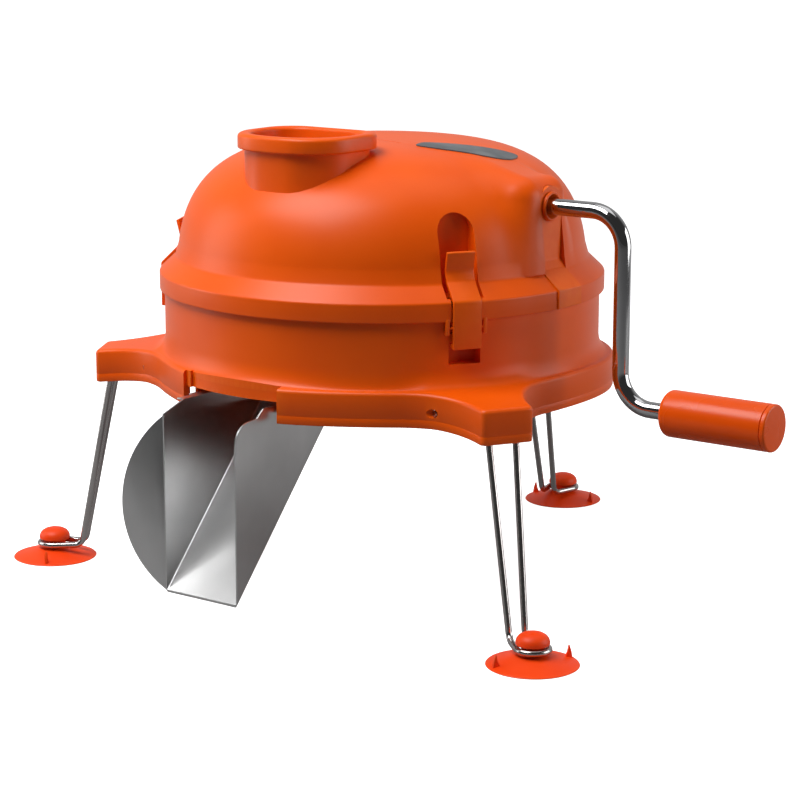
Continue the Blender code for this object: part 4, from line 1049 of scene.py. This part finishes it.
bmesh.ops.rotate(wing, cent=(0, 0, 0), matrix=Matrix.Rotation(radians(210.0), 3, "Z"), verts=wing.verts)
bmesh.ops.translate(wing, vec=(left + 0.3, MOUTH_Y + 0.3, 0.0), verts=wing.verts)
boolean(chute, wing, "UNION")
finish_piece(chute, "chute_trough", "brushed_sheet", 25)

# %% [markdown]
# ## Parts inside
#
# The gears, the disc with its blades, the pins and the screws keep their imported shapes, which are
# already exact. They only need finishes. The clips' pins are painted orange, because no bare metal
# shows at their ends.

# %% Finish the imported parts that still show
INSIDE = {"nylon": "white_nylon", "stainless": "disc_steel", "chrome": "chrome_plate",
          "orange_plastic": "orange_shell", "cup_rubber": "cup_vinyl", "label_grey": "grey_film"}
for entry in frame["record"]["subparts"]:
    materials = frame["nodes"][entry["node"]].data.materials
    materials.clear()
    slot = "orange_plastic" if entry["node"].startswith("latch_pin") else entry["material_slot"]
    materials.append(MATERIALS[INSIDE[slot]])

# %% [markdown]
# ## Studio
#
# A pale floor, a surround that is bright behind the object and dark in front of it, and four soft
# boxes: a large key light from the left front for the broad sheen on the dome, a weak one overhead, a
# weak one from the left, and one on the right whose glancing reflection whitens the orange there.
# The camera sees floor and surround as plain white, and the object meets them much darker, which
# keeps its orange full and its chrome contrasty.

# %% Floor and surround
floor_bm = bmesh.new()
bmesh.ops.create_grid(floor_bm, x_segments=1, y_segments=1, size=9000.0)
floor = link_mesh("floor", floor_bm)
BEHIND = (-0.6, 0.8, 0.1)
floor_tree, floor_shader = new_material("pale_floor", 0.75)
floor_shader.inputs["Emission Color"].default_value = (1, 1, 1, 1)


def node_of(tree, kind, **values):
    """A new node with some of its inputs set."""
    node = tree.nodes.new(kind)
    for label, value in values.items():
        node.inputs[label.replace("_", " ")].default_value = value
    return node


def brighter_behind(tree, coords, direction, low, high, dim, bright):
    """A value that rises from dim to bright along a direction."""
    along = tree.nodes.new("ShaderNodeVectorMath")
    along.operation = "DOT_PRODUCT"
    along.inputs[1].default_value = direction
    rise = node_of(tree, "ShaderNodeMapRange", From_Min=low, From_Max=high, To_Min=dim, To_Max=bright)
    join(tree, (coords, along.inputs[0]), (along.outputs["Value"], rise.inputs["Value"]))
    return rise


camera_ray = floor_tree.nodes.new("ShaderNodeLightPath").outputs["Is Camera Ray"]
floor_spots = floor_tree.nodes.new("ShaderNodeTexCoord").outputs["Object"]
rise = brighter_behind(floor_tree, floor_spots, (*BEHIND[:2], 0.0), 0.1, 0.9, 0.03, 0.50)
glow = node_of(floor_tree, "ShaderNodeMix", B=0.95)
shade = node_of(floor_tree, "ShaderNodeMapRange", To_Min=0.22, To_Max=0.80)
join(floor_tree, (camera_ray, shade.inputs["Value"]), (camera_ray, glow.inputs["Factor"]),
     (rise.outputs["Result"], glow.inputs["A"]), (shade.outputs["Result"], floor_shader.inputs["Base Color"]),
     (glow.outputs["Result"], floor_shader.inputs["Emission Strength"]))
floor.data.materials.append(MATERIALS["pale_floor"])
world = bpy.data.worlds.new("studio")
bpy.context.scene.world = world
world.use_nodes = True
sky = world.node_tree
surround = sky.nodes["Background"]
surround.inputs["Color"].default_value = (1, 1, 1, 1)
backdrop = node_of(sky, "ShaderNodeBackground", Color=(1, 1, 1, 1), Strength=1.0)
pick = sky.nodes.new("ShaderNodeMixShader")
sky_spots = sky.nodes.new("ShaderNodeTexCoord").outputs["Generated"]
fall = brighter_behind(sky, sky_spots, BEHIND, -0.1, 0.9, 0.04, 0.42)
fall.interpolation_type = "SMOOTHSTEP"
sky_ray = sky.nodes.new("ShaderNodeLightPath").outputs["Is Camera Ray"]
join(sky, (fall.outputs["Result"], surround.inputs["Strength"]), (sky_ray, pick.inputs["Fac"]),
     (surround.outputs[0], pick.inputs[1]), (backdrop.outputs[0], pick.inputs[2]),
     (pick.outputs[0], sky.nodes["World Output"].inputs["Surface"]))
bpy.context.scene.view_settings.view_transform = "Standard"


def soft_box(name, place, aim_at, width, height, power):
    """A rectangular area light that faces a point; places in millimetres about the drum."""
    light = bpy.data.lights.new(name, "AREA")
    light.shape = "RECTANGLE"
    light.size, light.size_y, light.energy = width * MM, height * MM, power
    lamp = add_object(name, light)
    lamp.location = AXIS + Vector(place) * MM
    direction = (Vector(aim_at) - Vector(place)) * MM
    lamp.rotation_euler = direction.to_track_quat("-Z", "Y").to_euler()


soft_box("key", (-240, -630, 1240), (0, 0, 220), 900, 700, 17.0)
soft_box("top", (150, 150, 1400), (0, 0, 200), 800, 800, 2.0)
soft_box("left", (-1000, -500, 400), (0, 0, 150), 500, 700, 3.0)
soft_box("right", (1150, 650, 450), (0, 0, 150), 900, 800, 7.0)
print("studio ready")

# %% Camera
CAMERA_PLACE, CAMERA_AIM = (896.8, -1197.1, 434.5), (0.0, 0.0, 112.4)
camera_data = bpy.data.cameras.new("camera")
camera = add_object("camera", camera_data)
camera_data.sensor_width = 36.0
camera_data.lens = 107.72
camera_data.shift_x, camera_data.shift_y = 0.0224, -0.0038
camera_data.clip_end = 30.0
camera.location = AXIS + Vector(CAMERA_PLACE) * MM
aim = AXIS + Vector(CAMERA_AIM) * MM
camera.rotation_euler = (aim - camera.location).to_track_quat("-Z", "Y").to_euler()
bpy.context.scene.camera = camera
print("camera at", [round(value, 3) for value in camera.location])
